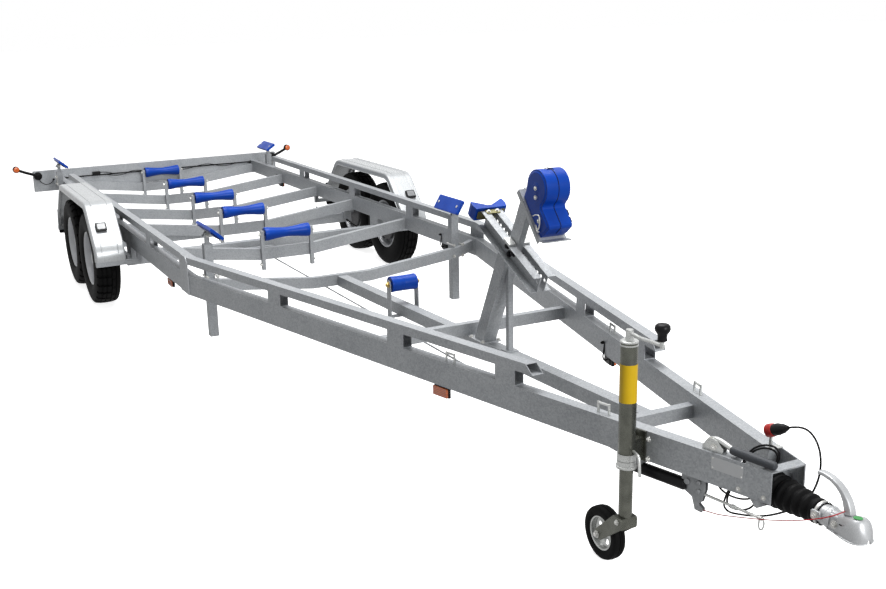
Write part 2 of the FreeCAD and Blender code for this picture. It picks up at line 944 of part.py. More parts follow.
def wheel_shapes():
    """Tyre and dished rim about the origin, facing along Y."""
    bead = size.tyre_bead_radius
    half = size.tyre_width / 2
    outer = [
        (across * half, bead + out * (size.tyre_radius - bead))
        for across, out in TYRE_SECTION_shares
    ]
    inner = [(-across, radius) for across, radius in outer]
    outside = turned("tyre_outside", inner + outer[::-1], WHEEL_SIDES, ALONG_Y)
    seat = size.rim_width / 2
    through = [(-size.tyre_width, bead), (size.tyre_width, bead)]
    tyre = cut("tyre", outside, turned("tyre_bead", through, WHEEL_SIDES, ALONG_Y))
    barrel = turned("rim_barrel", [(-seat, bead), (seat, bead)], WHEEL_SIDES, ALONG_Y)
    dish = [(along * seat, out * bead) for along, out in RIM_DISH_shares]
    back = [(along * seat, out * bead) for along, out in RIM_BACK_shares]
    front_hollow = turned("rim_dish", dish, WHEEL_SIDES, ALONG_Y)
    back_hollow = turned("rim_back", back, WHEEL_SIDES, ALONG_Y)
    hub_rear = RIM_BACK_shares[0][0] * seat
    hub_end = HUB_END_share * seat
    stations = [(hub_rear, size.hub_radius), (hub_end, size.hub_radius)]
    hub = turned("rim_hub", stations, SMALL_SIDES, ALONG_Y)
    shell = cut("rim_shell", barrel, fuse("rim_hollows", [front_hollow, back_hollow]))
    whole = fuse("rim_whole", [shell, hub])
    bore = doc.addObject("Part::Cylinder", "rim_bore")
    bore.setExpression("Radius", bound("hub_bore_radius"))
    bore.setExpression("Height", bound("rim_width"))
    bore.Placement = Placement(ALONG_Y * (hub_end - size.rim_wall), Rotation(ALONG_Z, -ALONG_Y))
    return tyre, cut("rim", whole, bore)


def road_wheels():
    """One wheel, modelled once and set down at the four hubs, each facing outwards."""
    tyre, rim = wheel_shapes()
    for end, sign in (("front", 1), ("rear", -1)):
        for name, side in SIDES.items():
            x = sign * size.wheel_spacing / 2
            centre = Vector(x, side * wheel_half_track, size.tyre_radius)
            place = Placement(centre, Rotation(ALONG_Z, 0 if side > 0 else 180))
            key = f"{end}_{name}"
            subpart(group(f"tyre_{key}_placed", [tyre]), f"tyre_{key}", place)
            subpart(group(f"rim_{key}_placed", [rim]), f"rim_{key}", place)


def axles():
    """Torsion axle tubes, with trailing arms and stub shafts at both ends."""
    pieces = []
    hub_end = wheel_half_track + size.rim_width / 2 * HUB_END_share - size.rim_wall * 2
    tube_top = rail_foot - size.axle_tube_drop
    half = size.axle_tube_side / 2
    tube_z = tube_top - half
    for end, sign in (("front", 1), ("rear", -1)):
        x = sign * size.wheel_spacing / 2
        tube_x = x + size.arm_length
        body = loose_body(f"axle_{end}")
        tube = rectangle(tube_x - half, tube_z - half, tube_x + half, tube_z + half)
        pad(body, "XZ", [tube], "frame_half_width * 2", middle=True)
        arm = closed(
            [
                (x - half, size.tyre_radius - half),
                (tube_x + half, tube_z - half),
                (tube_x + half, tube_z + half),
                (x - half, size.tyre_radius + half),
            ]
        )
        ear = rectangle(
            tube_x - size.axle_tube_side, tube_z, tube_x + size.axle_tube_side, rail_foot
        )
        stub = circle(x, size.tyre_radius, size.stub_radius)
        for side in SIDES.values():
            start = -side * size.frame_half_width
            pad(body, "XZ", [arm], "arm_width", start, back=side > 0)
            feature = pad(body, "XZ", [stub], "arm_width", start, back=side > 0)
            feature.setExpression("Length", None)
            feature.Length = hub_end - size.frame_half_width
            pad(body, "XZ", [ear], "rail_width", start, back=side < 0)
        pieces.append(body)
    subpart(group("axle_group", pieces), "axles")


mudguard_inner = size.frame_half_width + size.mudguard_gap
mudguard_outer = mudguard_inner + size.mudguard_width
mudguard_top = 2 * size.tyre_radius + size.mudguard_clearance
mudguard_foot = rail_foot - size.mudguard_foot_drop


def mudguard_line(wall):
    """Side view of the mudguard's sheet, moved in by a wall and open at the foot."""
    fold_height = mudguard_foot + size.mudguard_fold_rise
    lean = math.atan2(
        mudguard_top - fold_height, size.mudguard_fold_half - size.mudguard_flat_half
    )
    flat = size.mudguard_flat_half - wall * math.tan(lean / 2)
    fold = fold_height - wall * math.tan((math.pi / 2 - lean) / 2)
    half = size.mudguard_fold_half - wall
    middle = size.mudguard_centre
    top = mudguard_top - wall
    foot = mudguard_foot - wall
    return closed(
        [
            (middle - half, foot),
            (middle - half, fold),
            (middle - flat, top),
            (middle + flat, top),
            (middle + half, fold),
            (middle + half, foot),
        ]
    )


def mudguard(name, side):
    """Sheet folded over both wheels, with a turned-down edge each side and a rear flap."""
    body = new_body(f"mudguard_{name}")
    offset = -side * (mudguard_outer + mudguard_inner) / 2
    pad(body, "XZ", [mudguard_line(0)], "mudguard_width", offset, middle=True)
    inner = mudguard_line(size.mudguard_sheet)
    pocket(body, "XZ", [inner], "mudguard_width - 2 * mudguard_sheet", offset, middle=True)
    skirt = mudguard_line(size.mudguard_skirt)
    pocket(body, "XZ", [skirt], "mudguard_width * 2", offset, middle=True)
    rear = size.mudguard_centre - size.mudguard_fold_half
    flap = rectangle(rear - size.flap_wall, mudguard_foot - size.flap_length / 3, rear, mudguard_foot + size.mudguard_fold_rise)
    pad(body, "XZ", [flap], "mudguard_width", offset, middle=True)


def mudguard_stays():
    """Bars under the mudguards' upright ends, hung from the main rails."""
    stays = []
    side_half = size.stay_side / 2
    reach = size.mudguard_fold_half - side_half
    inside = size.frame_half_width - size.stay_side
    bar_z = mudguard_foot - size.flat_gap - side_half
    hanger_y = size.frame_half_width - side_half
    hanger_head = rail_foot - size.flat_gap
    for name, side in SIDES.items():
        for end, sign in (("front", 1), ("rear", -1)):
            x = size.mudguard_centre + sign * reach
            cross = box(
                f"stay_bar_{end}_{name}",
                "stay_side",
                "mudguard_gap + mudguard_width + stay_side",
                "stay_side",
                (x, side * (inside + mudguard_outer) / 2, bar_z),
            )
            hanger = box(
                f"stay_hanger_{end}_{name}",
                "stay_side",
                "stay_side",
                "mudguard_foot_drop + stay_side / 2",
                (x, side * hanger_y, (hanger_head + bar_z) / 2),
            )
            stays.append(fuse(f"stay_{end}_{name}", [cross, hanger]))
    subpart(group("stay_group", stays), "mudguard_stays")


jockey_x = size.nose_front - size.jockey_inset
jockey_y = -rail_outer(jockey_x) - (
    size.jockey_clamp_reach + size.jockey_tube_radius
) / math.cos(draw_in)
jockey_tube_top = rail_top + size.jockey_tube_rise
JOCKEY_RIM_share = 0.6


def jockey_tube():
    """Outer tube with its lower ring and the clamp that bolts it to the right rail."""
    outer = size.jockey_tube_radius
    foot = rail_foot - size.jockey_tube_drop
    tube = new_body("jockey_tube", Placement(Vector(jockey_x, jockey_y, 0), Rotation()))
    bore = circle(0, 0, size.jockey_inner_radius + size.running_gap)
    tall = "jockey_tube_rise + rail_height + jockey_tube_drop"
    pad(tube, "XY", [circle(0, 0, outer), bore], tall, foot)
    pad(tube, "XY", [circle(0, 0, outer)], "jockey_tube_wall", jockey_tube_top)
    ring = circle(0, 0, size.jockey_ring_radius)
    pad(tube, "XY", [ring, bore], "jockey_ring_height", foot)
    turn = rail_turn(jockey_x, -1)
    normal = turn.multVec(-ALONG_Y)
    middle = Vector(jockey_x, jockey_y, (rail_top + rail_foot) / 2)
    reach = size.jockey_clamp_reach - size.flat_gap
    along = "jockey_tube_radius * 2"
    plate_wall = size.jockey_tube_wall * 2
    plate = box(
        "jockey_clamp_plate",
        along,
        "jockey_tube_wall * 2",
        "rail_height",
        middle - normal * (outer + reach - plate_wall / 2),
        turn,
    )
    saddle = box(
        "jockey_clamp_saddle",
        "jockey_tube_radius * 1.4",
        "jockey_clamp_reach + jockey_tube_radius / 2 - jockey_tube_wall",
        "rail_height * 0.6",
        middle - normal * (outer + (reach - outer / 2) / 2 - size.jockey_tube_wall / 2),
        turn,
    )
    hollow = doc.addObject("Part::Cylinder", "jockey_clamp_bore")
    hollow.setExpression("Radius", bound("jockey_tube_radius + flat_gap"))
    hollow.setExpression("Height", bound("rail_top_height"))
    hollow.Placement = Placement(Vector(jockey_x, jockey_y, 0), Rotation())
    clamp = fuse("jockey_clamp_whole", [plate, saddle])
    subpart(cut("jockey_clamp_cut", clamp, hollow), "jockey_clamp")


# heights up the knob and its radius there, as shares
KNOB_shares = [(0, 0.4), (0.8, 0.5), (1.05, 1), (1.3, 1), (1.55, 0.6)]


def jockey_crank():
    """Crank arm on top of the tube with its round knob."""
    wall = size.jockey_tube_wall
    boss = jockey_tube_top + wall
    crank = loose_body("jockey_crank_arm")
    arm_foot = jockey_tube_top + size.crank_rise - wall * 2
    pad(crank, "XY", [rectangle(-wall * 3, -wall * 3, wall * 3, wall * 3)], "crank_rise - jockey_tube_wall", boss)
    arm = rectangle(0, -wall * 2, size.crank_reach, wall * 2)
    pad(crank, "XY", [arm], "jockey_tube_wall * 2", arm_foot)
    stations = [
        (arm_foot + up * size.knob_height, out * size.knob_radius) for up, out in KNOB_shares
    ]
    knob = turned("jockey_knob", stations, SMALL_SIDES, ALONG_Z)
    knob.Placement = Placement(Vector(size.crank_reach, 0, 0), Rotation())
    here = Placement(Vector(jockey_x, jockey_y, 0), Rotation())
    subpart(fuse("jockey_crank_fuse", [crank, knob]), "jockey_crank", here)


def jockey_inner():
    """Sliding inner tube."""
    here = Placement(Vector(jockey_x, jockey_y, 0), Rotation())
    inner = new_body("jockey_inner", here)
    foot = size.jockey_wheel_radius + size.jockey_inner_foot
    pad(inner, "XY", [circle(0, 0, size.jockey_inner_radius)], "jockey_inner_length", foot)


def jockey_fork():
    """Swivelling fork with leaning cheeks and the wheel's pin."""
    inner_radius = size.jockey_inner_radius
    here = Placement(Vector(jockey_x, jockey_y, 0), Rotation())
    top = size.jockey_wheel_radius + size.jockey_inner_foot - size.flat_gap
    axle_z = size.jockey_wheel_radius
    trail = size.jockey_trail
    wall = size.jockey_fork_wall
    inside = size.jockey_wheel_width / 2 + wall
    fork = new_body("jockey_fork", here)
    wide = "jockey_wheel_width + 4 * jockey_fork_wall"
    bridge = rectangle(-inner_radius, top - wall, inner_radius, top)
    pad(fork, "XZ", [bridge], wide, middle=True)
    leg = closed(
        [
            (-inner_radius, top),
            (inner_radius, top),
            (inner_radius, top - inner_radius),
            (-trail + inner_radius / 2, axle_z - inner_radius / 2),
            (-trail - inner_radius / 2, axle_z - inner_radius / 2),
            (-trail - inner_radius / 2, axle_z + inner_radius / 2),
        ]
    )
    pad(fork, "XZ", [leg], "jockey_fork_wall", inside)
    pad(fork, "XZ", [leg], "jockey_fork_wall", -inside, back=True)
    pad(fork, "XZ", [circle(-trail, axle_z, size.jockey_pin_radius)], wide, middle=True)


# across the small tyre and out to its tread, as shares of half width and radius
JOCKEY_TYRE_shares = [(-0.7, 0.66), (-1, 0.84), (-0.7, 1), (0.7, 1), (1, 0.84), (0.7, 0.66)]


def jockey_wheel():
    """Rubber tyre and dished metal rim of the small wheel."""
    place = Placement(
        Vector(jockey_x - size.jockey_trail, jockey_y, size.jockey_wheel_radius), Rotation()
    )
    half = size.jockey_wheel_width / 2
    radius = size.jockey_wheel_radius
    rim = radius * JOCKEY_RIM_share
    section = [(across * half, out * radius) for across, out in JOCKEY_TYRE_shares]
    outside = turned("jockey_tyre_outside", section, SMALL_SIDES, ALONG_Y)
    through = turned("jockey_tyre_bead", [(-radius, rim), (radius, rim)], SMALL_SIDES, ALONG_Y)
    subpart(cut("jockey_tyre_cut", outside, through), "jockey_tyre", place)
    disc = turned("jockey_rim_disc", [(-half * 0.6, rim), (half * 0.6, rim)], SMALL_SIDES, ALONG_Y)
    hub = turned("jockey_rim_hub", [(-half, rim / 3), (half, rim / 3)], SMALL_SIDES, ALONG_Y)
    bore = rod("jockey_rim_bore", "pad_bore_radius", "jockey_wheel_width * 2", (0, 0, 0), (0, 1, 0))
    subpart(cut("jockey_rim_cut", fuse("jockey_rim_whole", [disc, hub]), bore), "jockey_rim", place)


winch_x = size.nose_front - size.winch_post_inset
winch_base = spine_top(winch_x)
winch_angle = math.radians(size.winch_post_lean)
winch_place = Placement(Vector(winch_x, 0, winch_base), Rotation(ALONG_Y, size.winch_post_lean))
channel_top = size.winch_post_length + size.channel_height
plate_place = Placement(
    winch_place.multVec(Vector(size.winch_plate_forward, 0, size.winch_plate_rise)),
    Rotation(ALONG_Y, size.winch_plate_lean),
)


def winch_post():
    """Leaning square post on the spine, and the upright strut under its front face."""
    half = size.winch_post_side / 2
    slope = (spine_top(winch_x + half) - winch_base) / half
    lean = math.tan(winch_angle)
    foot = []
    for sign in (-1, 1):
        step = sign * half / math.cos(winch_angle)
        x = winch_x + step / (1 - slope * lean)
        foot.append((x, spine_top(x) + size.flat_gap))
    head = []
    for sign in (1, -1):
        corner = winch_place.multVec(Vector(sign * half, 0, size.winch_post_length - size.flat_gap))
        head.append((corner.x, corner.z))
    post = new_body("winch_post")
    pad(post, "XZ", [closed(foot + head)], "winch_post_side", middle=True)
    strut_half = size.winch_strut_side / 2
    strut_x = winch_x + size.winch_strut_forward
    face = winch_x + half / math.cos(winch_angle)
    seat = size.flat_gap / math.sin(winch_angle)
    rear_head = winch_base + (strut_x - strut_half - face) / lean - seat
    front_head = winch_base + (strut_x + strut_half - face) / lean - seat
    strut = new_body("winch_strut")
    outline = closed(
        [
            (strut_x - strut_half, spine_top(strut_x - strut_half) + size.flat_gap),
            (strut_x + strut_half, spine_top(strut_x + strut_half) + size.flat_gap),
            (strut_x + strut_half, front_head),
            (strut_x - strut_half, rear_head),
        ]
    )
    pad(strut, "XZ", [outline], "winch_strut_side", middle=True)


def channel_section(side):
    """Front view of one channel, its web inside and its flanges outwards."""
    wall = size.channel_wall
    inside = side * size.channel_spread
    web = inside + side * wall
    flange = inside + side * size.channel_flange
    foot = size.winch_post_length
    return closed(
        [
            (inside, channel_top),
            (flange, channel_top),
            (flange, channel_top - wall),
            (web, channel_top - wall),
            (web, foot + wall),
            (flange, foot + wall),
            (flange, foot),
            (inside, foot),
        ]
    )


def winch_channels():
    """Pair of perforated channels on top of the post, along which the bow stop slides."""
    channels = []
    pitch = size.channel_hole_pitch
    run = size.channel_rear + size.channel_front
    count = int(run / pitch)
    half = size.channel_hole / 2
    row_z = channel_top - size.channel_height / 3
    for name, side in SIDES.items():
        body = loose_body(f"winch_channel_{name}", winch_place)
        pad(body, "YZ", [channel_section(side)], "channel_rear + channel_front", -size.channel_rear)
        holes = []
        for number in range(count):
            x = -size.channel_rear + pitch * (number + 0.5)
            holes.append(rectangle(x - half, row_z - half, x + half, row_z + half))
        web = -side * (size.channel_spread + size.channel_wall / 2)
        pocket(body, "XZ", holes, "channel_wall * 3", web, middle=True)
        channels.append(body)
    subpart(group("winch_channel_group", channels), "winch_channels")


def winch_mount():
    """Stem between the channels and the slanting plate that carries the winch."""
    half = size.stem_side / 2
    x = size.stem_forward
    axis = winch_place.Rotation.multVec(ALONG_Z)
    normal = plate_place.Rotation.multVec(ALONG_Z)
    start = winch_place.multVec(Vector(x + half, 0, 0))
    head = (plate_place.Base - start).dot(normal) / axis.dot(normal)
    stem = loose_body("winch_stem", winch_place)
    wide = size.channel_spread - size.flat_gap
    foot = size.winch_post_length
    column = rectangle(x - half, -wide, x + half, wide)
    shaft = pad(stem, "XY", [column], "stem_side", foot)
    shaft.setExpression("Length", None)
    shaft.Length = head - foot
    plate = loose_body("winch_sheet", plate_place)
    across = size.winch_plate_half_width
    half_length = size.winch_plate_length / 2
    outline = rectangle(-half_length, -across, half_length, across)
    pad(plate, "XY", [outline], "winch_plate_wall")
    lip = box(
        "winch_plate_lip",
        "winch_plate_lip",
        "winch_plate_half_width * 2",
        "winch_plate_wall",
        plate_place.multVec(Vector(half_length, 0, size.winch_plate_wall / 2))
        + ALONG_X * (size.winch_plate_lip / 2),
    )
    subpart(fuse("winch_mount_fuse", [stem, plate, lip]), "winch_mount")


def winch_housing():
    """Moulded cover of the winch: a large round drum case and a smaller gear case."""
    rise = size.winch_plate_wall + size.flat_gap
    drum = Vector(-size.drum_lobe_rear, 0, size.drum_lobe_height + rise)
    gear = Vector(size.gear_lobe_front, 0, size.gear_lobe_height + rise)
    wide = "housing_half_width * 2"
    pieces = []
    for name, centre, radius in (
        ("drum", drum, size.drum_lobe_radius),
        ("gear", gear, size.gear_lobe_radius),
    ):
        half = size.housing_half_width
        edge = half * 0.92
        stations = [(-half, radius * 0.93), (-edge, radius), (edge, radius), (half, radius * 0.93)]
        lobe = turned(f"housing_{name}", stations, SMALL_SIDES, ALONG_Y)
        lobe.Placement = Placement(centre, Rotation())
        pieces.append(lobe)
    web = loose_body("housing_web")
    foot = closed(
        [
            (-size.housing_rear, rise),
            (size.housing_front, rise),
            (size.housing_front, rise + size.gear_lobe_height / 2),
            (gear.x, gear.z + size.gear_lobe_radius * 0.9),
            (drum.x + size.drum_lobe_radius * 0.8, drum.z),
            (drum.x - size.drum_lobe_radius * 0.6, drum.z - size.drum_lobe_radius * 0.4),
            (-size.housing_rear, rise + size.gear_lobe_height / 2),
        ]
    )
    pad(web, "XZ", [foot], wide, middle=True)
    pieces.append(web)
    subpart(fuse("winch_housing_fuse", pieces), "winch_housing", plate_place)


def bow_snubber():
    """Soft V block and the bracket that bolts it to the rear end of the channels."""
    body = new_body("bow_snubber", winch_place)
    half = size.snubber_half_width
    deep = size.snubber_depth
    front = -size.channel_rear + size.channel_flange
    reach = -size.channel_rear - size.flat_gap
    foot = channel_top + size.flat_gap
    tongue = rectangle(reach, -half / 2, front, half / 2)
    pad(body, "XY", [tongue], "channel_wall * 2", foot)
    plan = closed(
        [
            (reach, -half),
            (reach, half),
            (reach - deep, half),
            (reach - deep / 3, 0),
            (reach - deep, -half),
        ]
    )
    pad(body, "XY", [plan], "snubber_height", foot - size.snubber_height * 0.8)


coupling_height = rail_top - size.coupling_drop
coupling_front = size.nose_front + size.coupling_reach
guide_x = size.nose_front - size.guide_inset
ball_x = coupling_front - size.head_radius - (size.head_radius - size.ball_radius) / 2


def overrun_housing():
    """Open-fronted nose between the rails, with the guide plate that the shaft slides in."""
    front = size.nose_front
    wall = size.nose_wall
    body = new_body("overrun_housing")
    plan = closed(
        [
            (nose_rear, rail_outer(nose_rear)),
            (front, rail_outer(front)),
            (front, -rail_outer(front)),
            (nose_rear, -rail_outer(nose_rear)),
        ]
    )
    pad(body, "XY", [plan], "rail_height", rail_foot)
    bridge = front - size.nose_bridge_length
    inside = closed(
        [
            (nose_rear - wall, rail_outer(nose_rear - wall) - wall),
            (front + wall, rail_outer(front + wall) - wall),
            (front + wall, wall - rail_outer(front + wall)),
            (nose_rear - wall, wall - rail_outer(nose_rear - wall)),
        ]
    )
    pocket(body, "XY", [inside], "rail_height - nose_wall", rail_foot, back=True)
    opening = closed(
        [
            (nose_rear - wall, rail_outer(nose_rear - wall) - wall),
            (bridge, rail_outer(bridge) - wall),
            (bridge, wall - rail_outer(bridge)),
            (nose_rear - wall, wall - rail_outer(nose_rear - wall)),
        ]
    )
    pocket(body, "XY", [opening], "rail_height * 2", rail_foot, back=True)
    half = rail_outer(guide_x) - wall / 2
    radius = size.bellows_rear_radius
    plate = closed(
        [
            (-half, rail_foot),
            (-radius, coupling_height - radius),
            (radius, coupling_height - radius),
            (half, rail_foot),
            (half, coupling_height + radius / 2),
            (radius / 2, coupling_height + radius),
            (-radius / 2, coupling_height + radius),
            (-half, coupling_height + radius / 2),
        ]
    )
    bore = circle(0, coupling_height, size.shaft_radius + size.running_gap)
    pad(body, "YZ", [plate, bore], "guide_wall", guide_x - size.guide_wall)


BELLOWS_RINGS = 7


def bellows():
    """Ribbed rubber boot over the shaft, from the guide plate to the coupling head."""
    start = guide_x + size.flat_gap
    wide = size.bellows_rear_radius
    narrow = size.bellows_front_radius
    length = size.bellows_length
    step = length / (2 * BELLOWS_RINGS)
    stations = []
    for number in range(2 * BELLOWS_RINGS + 1):
        share = number / (2 * BELLOWS_RINGS)
        ridge = wide + (narrow - wide) * share
        groove = ridge * 0.86
        stations.append((number * step, ridge if number % 2 == 0 else groove))
    outside = turned("bellows_outside", stations, SMALL_SIDES, ALONG_X)
    bore = rod(
        "bellows_bore", "shaft_radius + running_gap", "bellows_length * 3", (0, 0, 0), (1, 0, 0)
    )
    place = Placement(Vector(start, 0, coupling_height), Rotation())
    subpart(cut("bellows_cut", outside, bore), "bellows", place)


# heights up the coupling's rounded nose, as shares of its height above the foot, with the
# share of its radius there
HEAD_shares = [(0, 0.96), (0.1, 1), (0.55, 1), (0.8, 0.86), (0.94, 0.62), (1, 0.3)]
SOCKET_DOME_shares = [(0, 1), (0.4, 0.9), (0.75, 0.62), (0.95, 0.2)]
NECK_HEIGHT_share = 0.75
# side view of the handle, back from its root and up from the neck, as shares of length and rise
LEVER_shares = [
    (-0.12, -0.05),
    (-0.12, 0.22),
    (-0.03, 0.45),
    (0.14, 0.75),
    (0.56, 1.0),
    (1.0, 0.99),
    (1.0, 0.86),
    (0.6, 0.84),
    (0.3, 0.62),
    (0.16, 0.35),
    (0.16, -0.05),
]


def coupling_head():
    """Ball coupling on the end of the sliding shaft, its socket open below, its handle on top."""
    foot = coupling_height - size.socket_depth
    middle = Placement(Vector(ball_x, 0, foot), Rotation())
    radius = size.head_radius
    stations = [(up * size.head_height, out * radius) for up, out in HEAD_shares]
    nose = turned("coupling_nose", stations, SMALL_SIDES, ALONG_Z)
    nose.Placement = middle
    rear = coupling_front - size.head_radius * 2 - size.clamp_length * 2
    shaft_front = ball_x - size.ball_radius - size.nose_wall
    shaft_rear = guide_x - size.guide_wall - size.flat_gap - size.nose_wall
    shaft_middle = (shaft_rear + shaft_front) / 2
    shaft = doc.addObject("Part::Cylinder", "overrun_shaft")
    shaft.setExpression("Radius", bound("shaft_radius"))
    shaft.Height = shaft_front - shaft_rear
    shaft.Placement = Placement(
        Vector(shaft_rear, 0, coupling_height), Rotation(ALONG_Z, ALONG_X)
    )
    half_clamp = size.clamp_length / 2
    clamp_x = guide_x + size.bellows_length + size.flat_gap * 2 + half_clamp
    stations = [
        (clamp_x - half_clamp, size.clamp_radius),
        (clamp_x + half_clamp, size.clamp_radius),
    ]
    clamp = turned("coupling_clamp", stations, SMALL_SIDES, ALONG_X)
    clamp.Placement = Placement(Vector(0, 0, coupling_height), Rotation())
    neck = loose_body("coupling_neck")
    wide = size.neck_half_width
    plan = closed(
        [
            (clamp_x, -wide),
            (ball_x, -radius * 0.9),
            (ball_x, radius * 0.9),
            (clamp_x, wide),
        ]
    )
    neck_top = pad(neck, "XY", [plan], "head_height", foot)
    neck_top.setExpression("Length", None)
    neck_top.Length = size.head_height * NECK_HEIGHT_share
    lever = loose_body("coupling_lever")
    root = ball_x - radius
    handle = closed(
        [
            (root - back * size.coupling_lever_length, foot + size.head_height * NECK_HEIGHT_share + up * size.coupling_lever_rise)
            for back, up in LEVER_shares
        ]
    )
    pad(lever, "XZ", [handle], "coupling_lever_width", middle=True)
    whole = fuse("coupling_whole", [nose, shaft, clamp, neck, lever])
    well = doc.addObject("Part::Cylinder", "coupling_socket")
    well.setExpression("Radius", bound("ball_radius"))
    well.setExpression("Height", bound("socket_depth * 2"))
    well.Placement = Placement(Vector(ball_x, 0, foot - size.socket_depth), Rotation())
    dome_stations = [
        (size.socket_depth + up * size.ball_radius, out * size.ball_radius)
        for up, out in SOCKET_DOME_shares
    ]
    dome = turned("coupling_dome", dome_stations, SMALL_SIDES, ALONG_Z)
    dome.Placement = middle
    subpart(cut("coupling_cut", whole, fuse("coupling_hollow", [well, dome])), "coupling_head")


def handbrake_lever():
    """Lever lying along the right side of the nose, with its round grip."""
    rear = size.nose_front - size.handbrake_inset
    front = rear + size.handbrake_length
    grip = size.handbrake_grip_radius
    wall = size.handbrake_wall
    y_rear = -rail_centre(rear)
    y_front = -rail_outer(front) + size.nose_wall * 3
    z = rail_top + size.flat_gap
    axis_rear = Vector(rear, y_rear, z + grip * 1.6)
    axis_front = Vector(front, y_front, z + grip * 1.2)
    run = (axis_front - axis_rear).normalize()
    grip_start = axis_rear + run * (size.handbrake_length * 0.28)
    handle = bar("handbrake_handle", "handbrake_grip_radius", grip_start, axis_front, 12)
    stalk = bar("handbrake_stalk", "handbrake_wall * 1.6", axis_rear - run * grip, grip_start, 8)
    foot = box(
        "handbrake_foot",
        "handbrake_grip_radius * 3",
        "handbrake_wall * 2",
        "handbrake_grip_radius * 2.6",
        (rear, y_rear, z + grip * 1.3),
        rail_turn(rear, -1),
    )
    return fuse("handbrake_fuse", [foot, stalk, handle])


def brake_linkage():
    """Spring cylinder, lever plate and rod under the right rail, and the handbrake on top of it."""
    x = size.nose_front - size.spring_inset
    half = size.spring_length / 2
    spring_z = rail_foot - size.spring_radius * 2
    y0 = -rail_inner(x + half) - size.spring_side
    turn = rail_turn(x, -1)
    middle = Vector(x + half, y0, spring_z)
    along = turn.multVec(ALONG_X)
    spring = rod("brake_spring", "spring_radius", "spring_length", middle, tuple(along))
    wall = size.linkage_wall
    lever_middle = middle + along * (half + size.spring_radius)
    drop = size.linkage_drop
    plate = loose_body("brake_lever", Placement(Vector(lever_middle.x, lever_middle.y, 0), turn))
    reach = size.spring_radius * 2
    lever = closed(
        [
            (-reach, rail_foot - size.flat_gap),
            (reach * 1.2, rail_foot - size.flat_gap),
            (reach * 1.2, rail_foot - drop * 0.25),
            (reach * 0.9, rail_foot - drop * 0.55),
            (reach * 0.6, rail_foot - drop * 0.62),
            (reach, rail_foot - drop * 0.7),
            (reach, rail_foot - drop * 0.8),
            (reach * 0.3, rail_foot - drop * 0.78),
            (0, rail_foot - drop * 0.5),
            (-reach, rail_foot - drop * 0.36),
        ]
    )
    pad(plate, "XZ", [lever], "linkage_wall", middle=True)
    start = lever_middle + along * reach - ALONG_Z * (size.spring_radius / 2)
    end = Vector(guide_x + size.guide_wall * 5, -rail_outer(guide_x) + size.nose_wall * 2, start.z)
    push_rod = bar("brake_rod", "brake_rod_radius", start - along * wall, end)
    clip_drop = end - ALONG_Z * (size.spring_radius * 2)
    clip = bar("brake_clip", "brake_rod_radius", end, clip_drop)
    strap = box(
        "brake_spring_strap",
        "linkage_wall * 3",
        "linkage_wall",
        "spring_radius * 2",
        middle - along * (half * 0.7) + ALONG_Z * (size.spring_radius - size.flat_gap),
        turn,
    )
    gear = fuse("brake_gear", [spring, plate, push_rod, clip, strap])
    subpart(group("brake_group", [gear, handbrake_lever()]), "brake_linkage")


def plug():
    """Many-pinned plug, parked in a holder that stands on the left rail."""
    place = Vector(*PLUG_ROUTE[0])
    ahead = (Vector(*PLUG_ROUTE[1]) - place).normalize()
    rear = place - ahead * size.plug_length
    body = bar("plug_body", "plug_radius", rear, place, SMALL_SIDES)
    holder_start = rear - ahead * size.holder_length
    holder = bar("plug_holder", "holder_radius", holder_start, rear, SMALL_SIDES)
    middle = (holder_start + rear) / 2
    foot_x = middle.x
    foot = Vector(foot_x, middle.y, rail_top + size.flat_gap)
    post = box(
        "plug_post",
        "holder_length",
        "holder_post",
        "holder_radius * 2",
        (foot_x, middle.y, foot.z + size.holder_radius),
    )
    base = box(
        "plug_base",
        "holder_length",
        "holder_radius * 2",
        "holder_post / 2",
        (foot_x, rail_centre(foot_x), foot.z + size.holder_post / 4),
    )
    subpart(fuse("plug_fuse", [body, holder, post, base]), "plug")


# the cable from the plug: over the nose, back under it and into a hank between the rails
PLUG_ROUTE = [
    (5634, 66, 618),
    (5676, 69, 637),
    (5722, 73, 634),
    (5756, 76, 598),
    (5768, 78, 548),
    (5764, 79, 496),
    (5750, 78, 448),
    (5728, 74, 402),
    (5694, 66, 364),
    (5648, 50, 330),
    (5596, 34, 300),
    (5550, 17, 284),
    (5505, 1, 275),
    (5471, -22, 275),
    (5458, -34, 304),
    (5485, -28, 378),
    (5516, -19, 452),
    (5548, -10, 526),
    (5585, 9, 555),
    (5619, 32, 555),
    (5632, 44, 526),
    (5605, 38, 452),
    (5575, 30, 378),
    (5542, 20, 310),
    (5504, 11, 287),
    (5469, -11, 287),
    (5460, -22, 315),
    (5485, -16, 384),
    (5510, -9, 446),
    (5540, 0, 512),
    (5574, 18, 539),
    (5606, 38, 539),
    (5617, 50, 512),
    (5593, 44, 446),
    (5566, 37, 384),
    (5530, 33, 336),
    (5478, 30, 312),
    (5424, 24, 306),
    (5380, 18, 318),
    (5361, 17, 352),
    (5360.6, 21.4, 396),
    (5368.6, 54.4, 430),
    (5379.9, 101, 430),
]
# the thin red safety cable from the brake lever to the coupling head
BREAKAWAY_ROUTE = [
    (5456.1, -112.8, 297),
    (5500, -102, 299),
    (5545, -101, 312),
    (5600, -100, 330),
    (5660, -99, 350),
    (5720, -96, 370),
    (5780, -90, 392),
    (5836, -83, 414),
    (5886, -73, 436),
    (5926, -62, 456),
    (5952, -44, 472),
    (5956, -13.5, 478),
]
# the lamps' harness along the front face of the rear beam
HARNESS_RUNS = 11


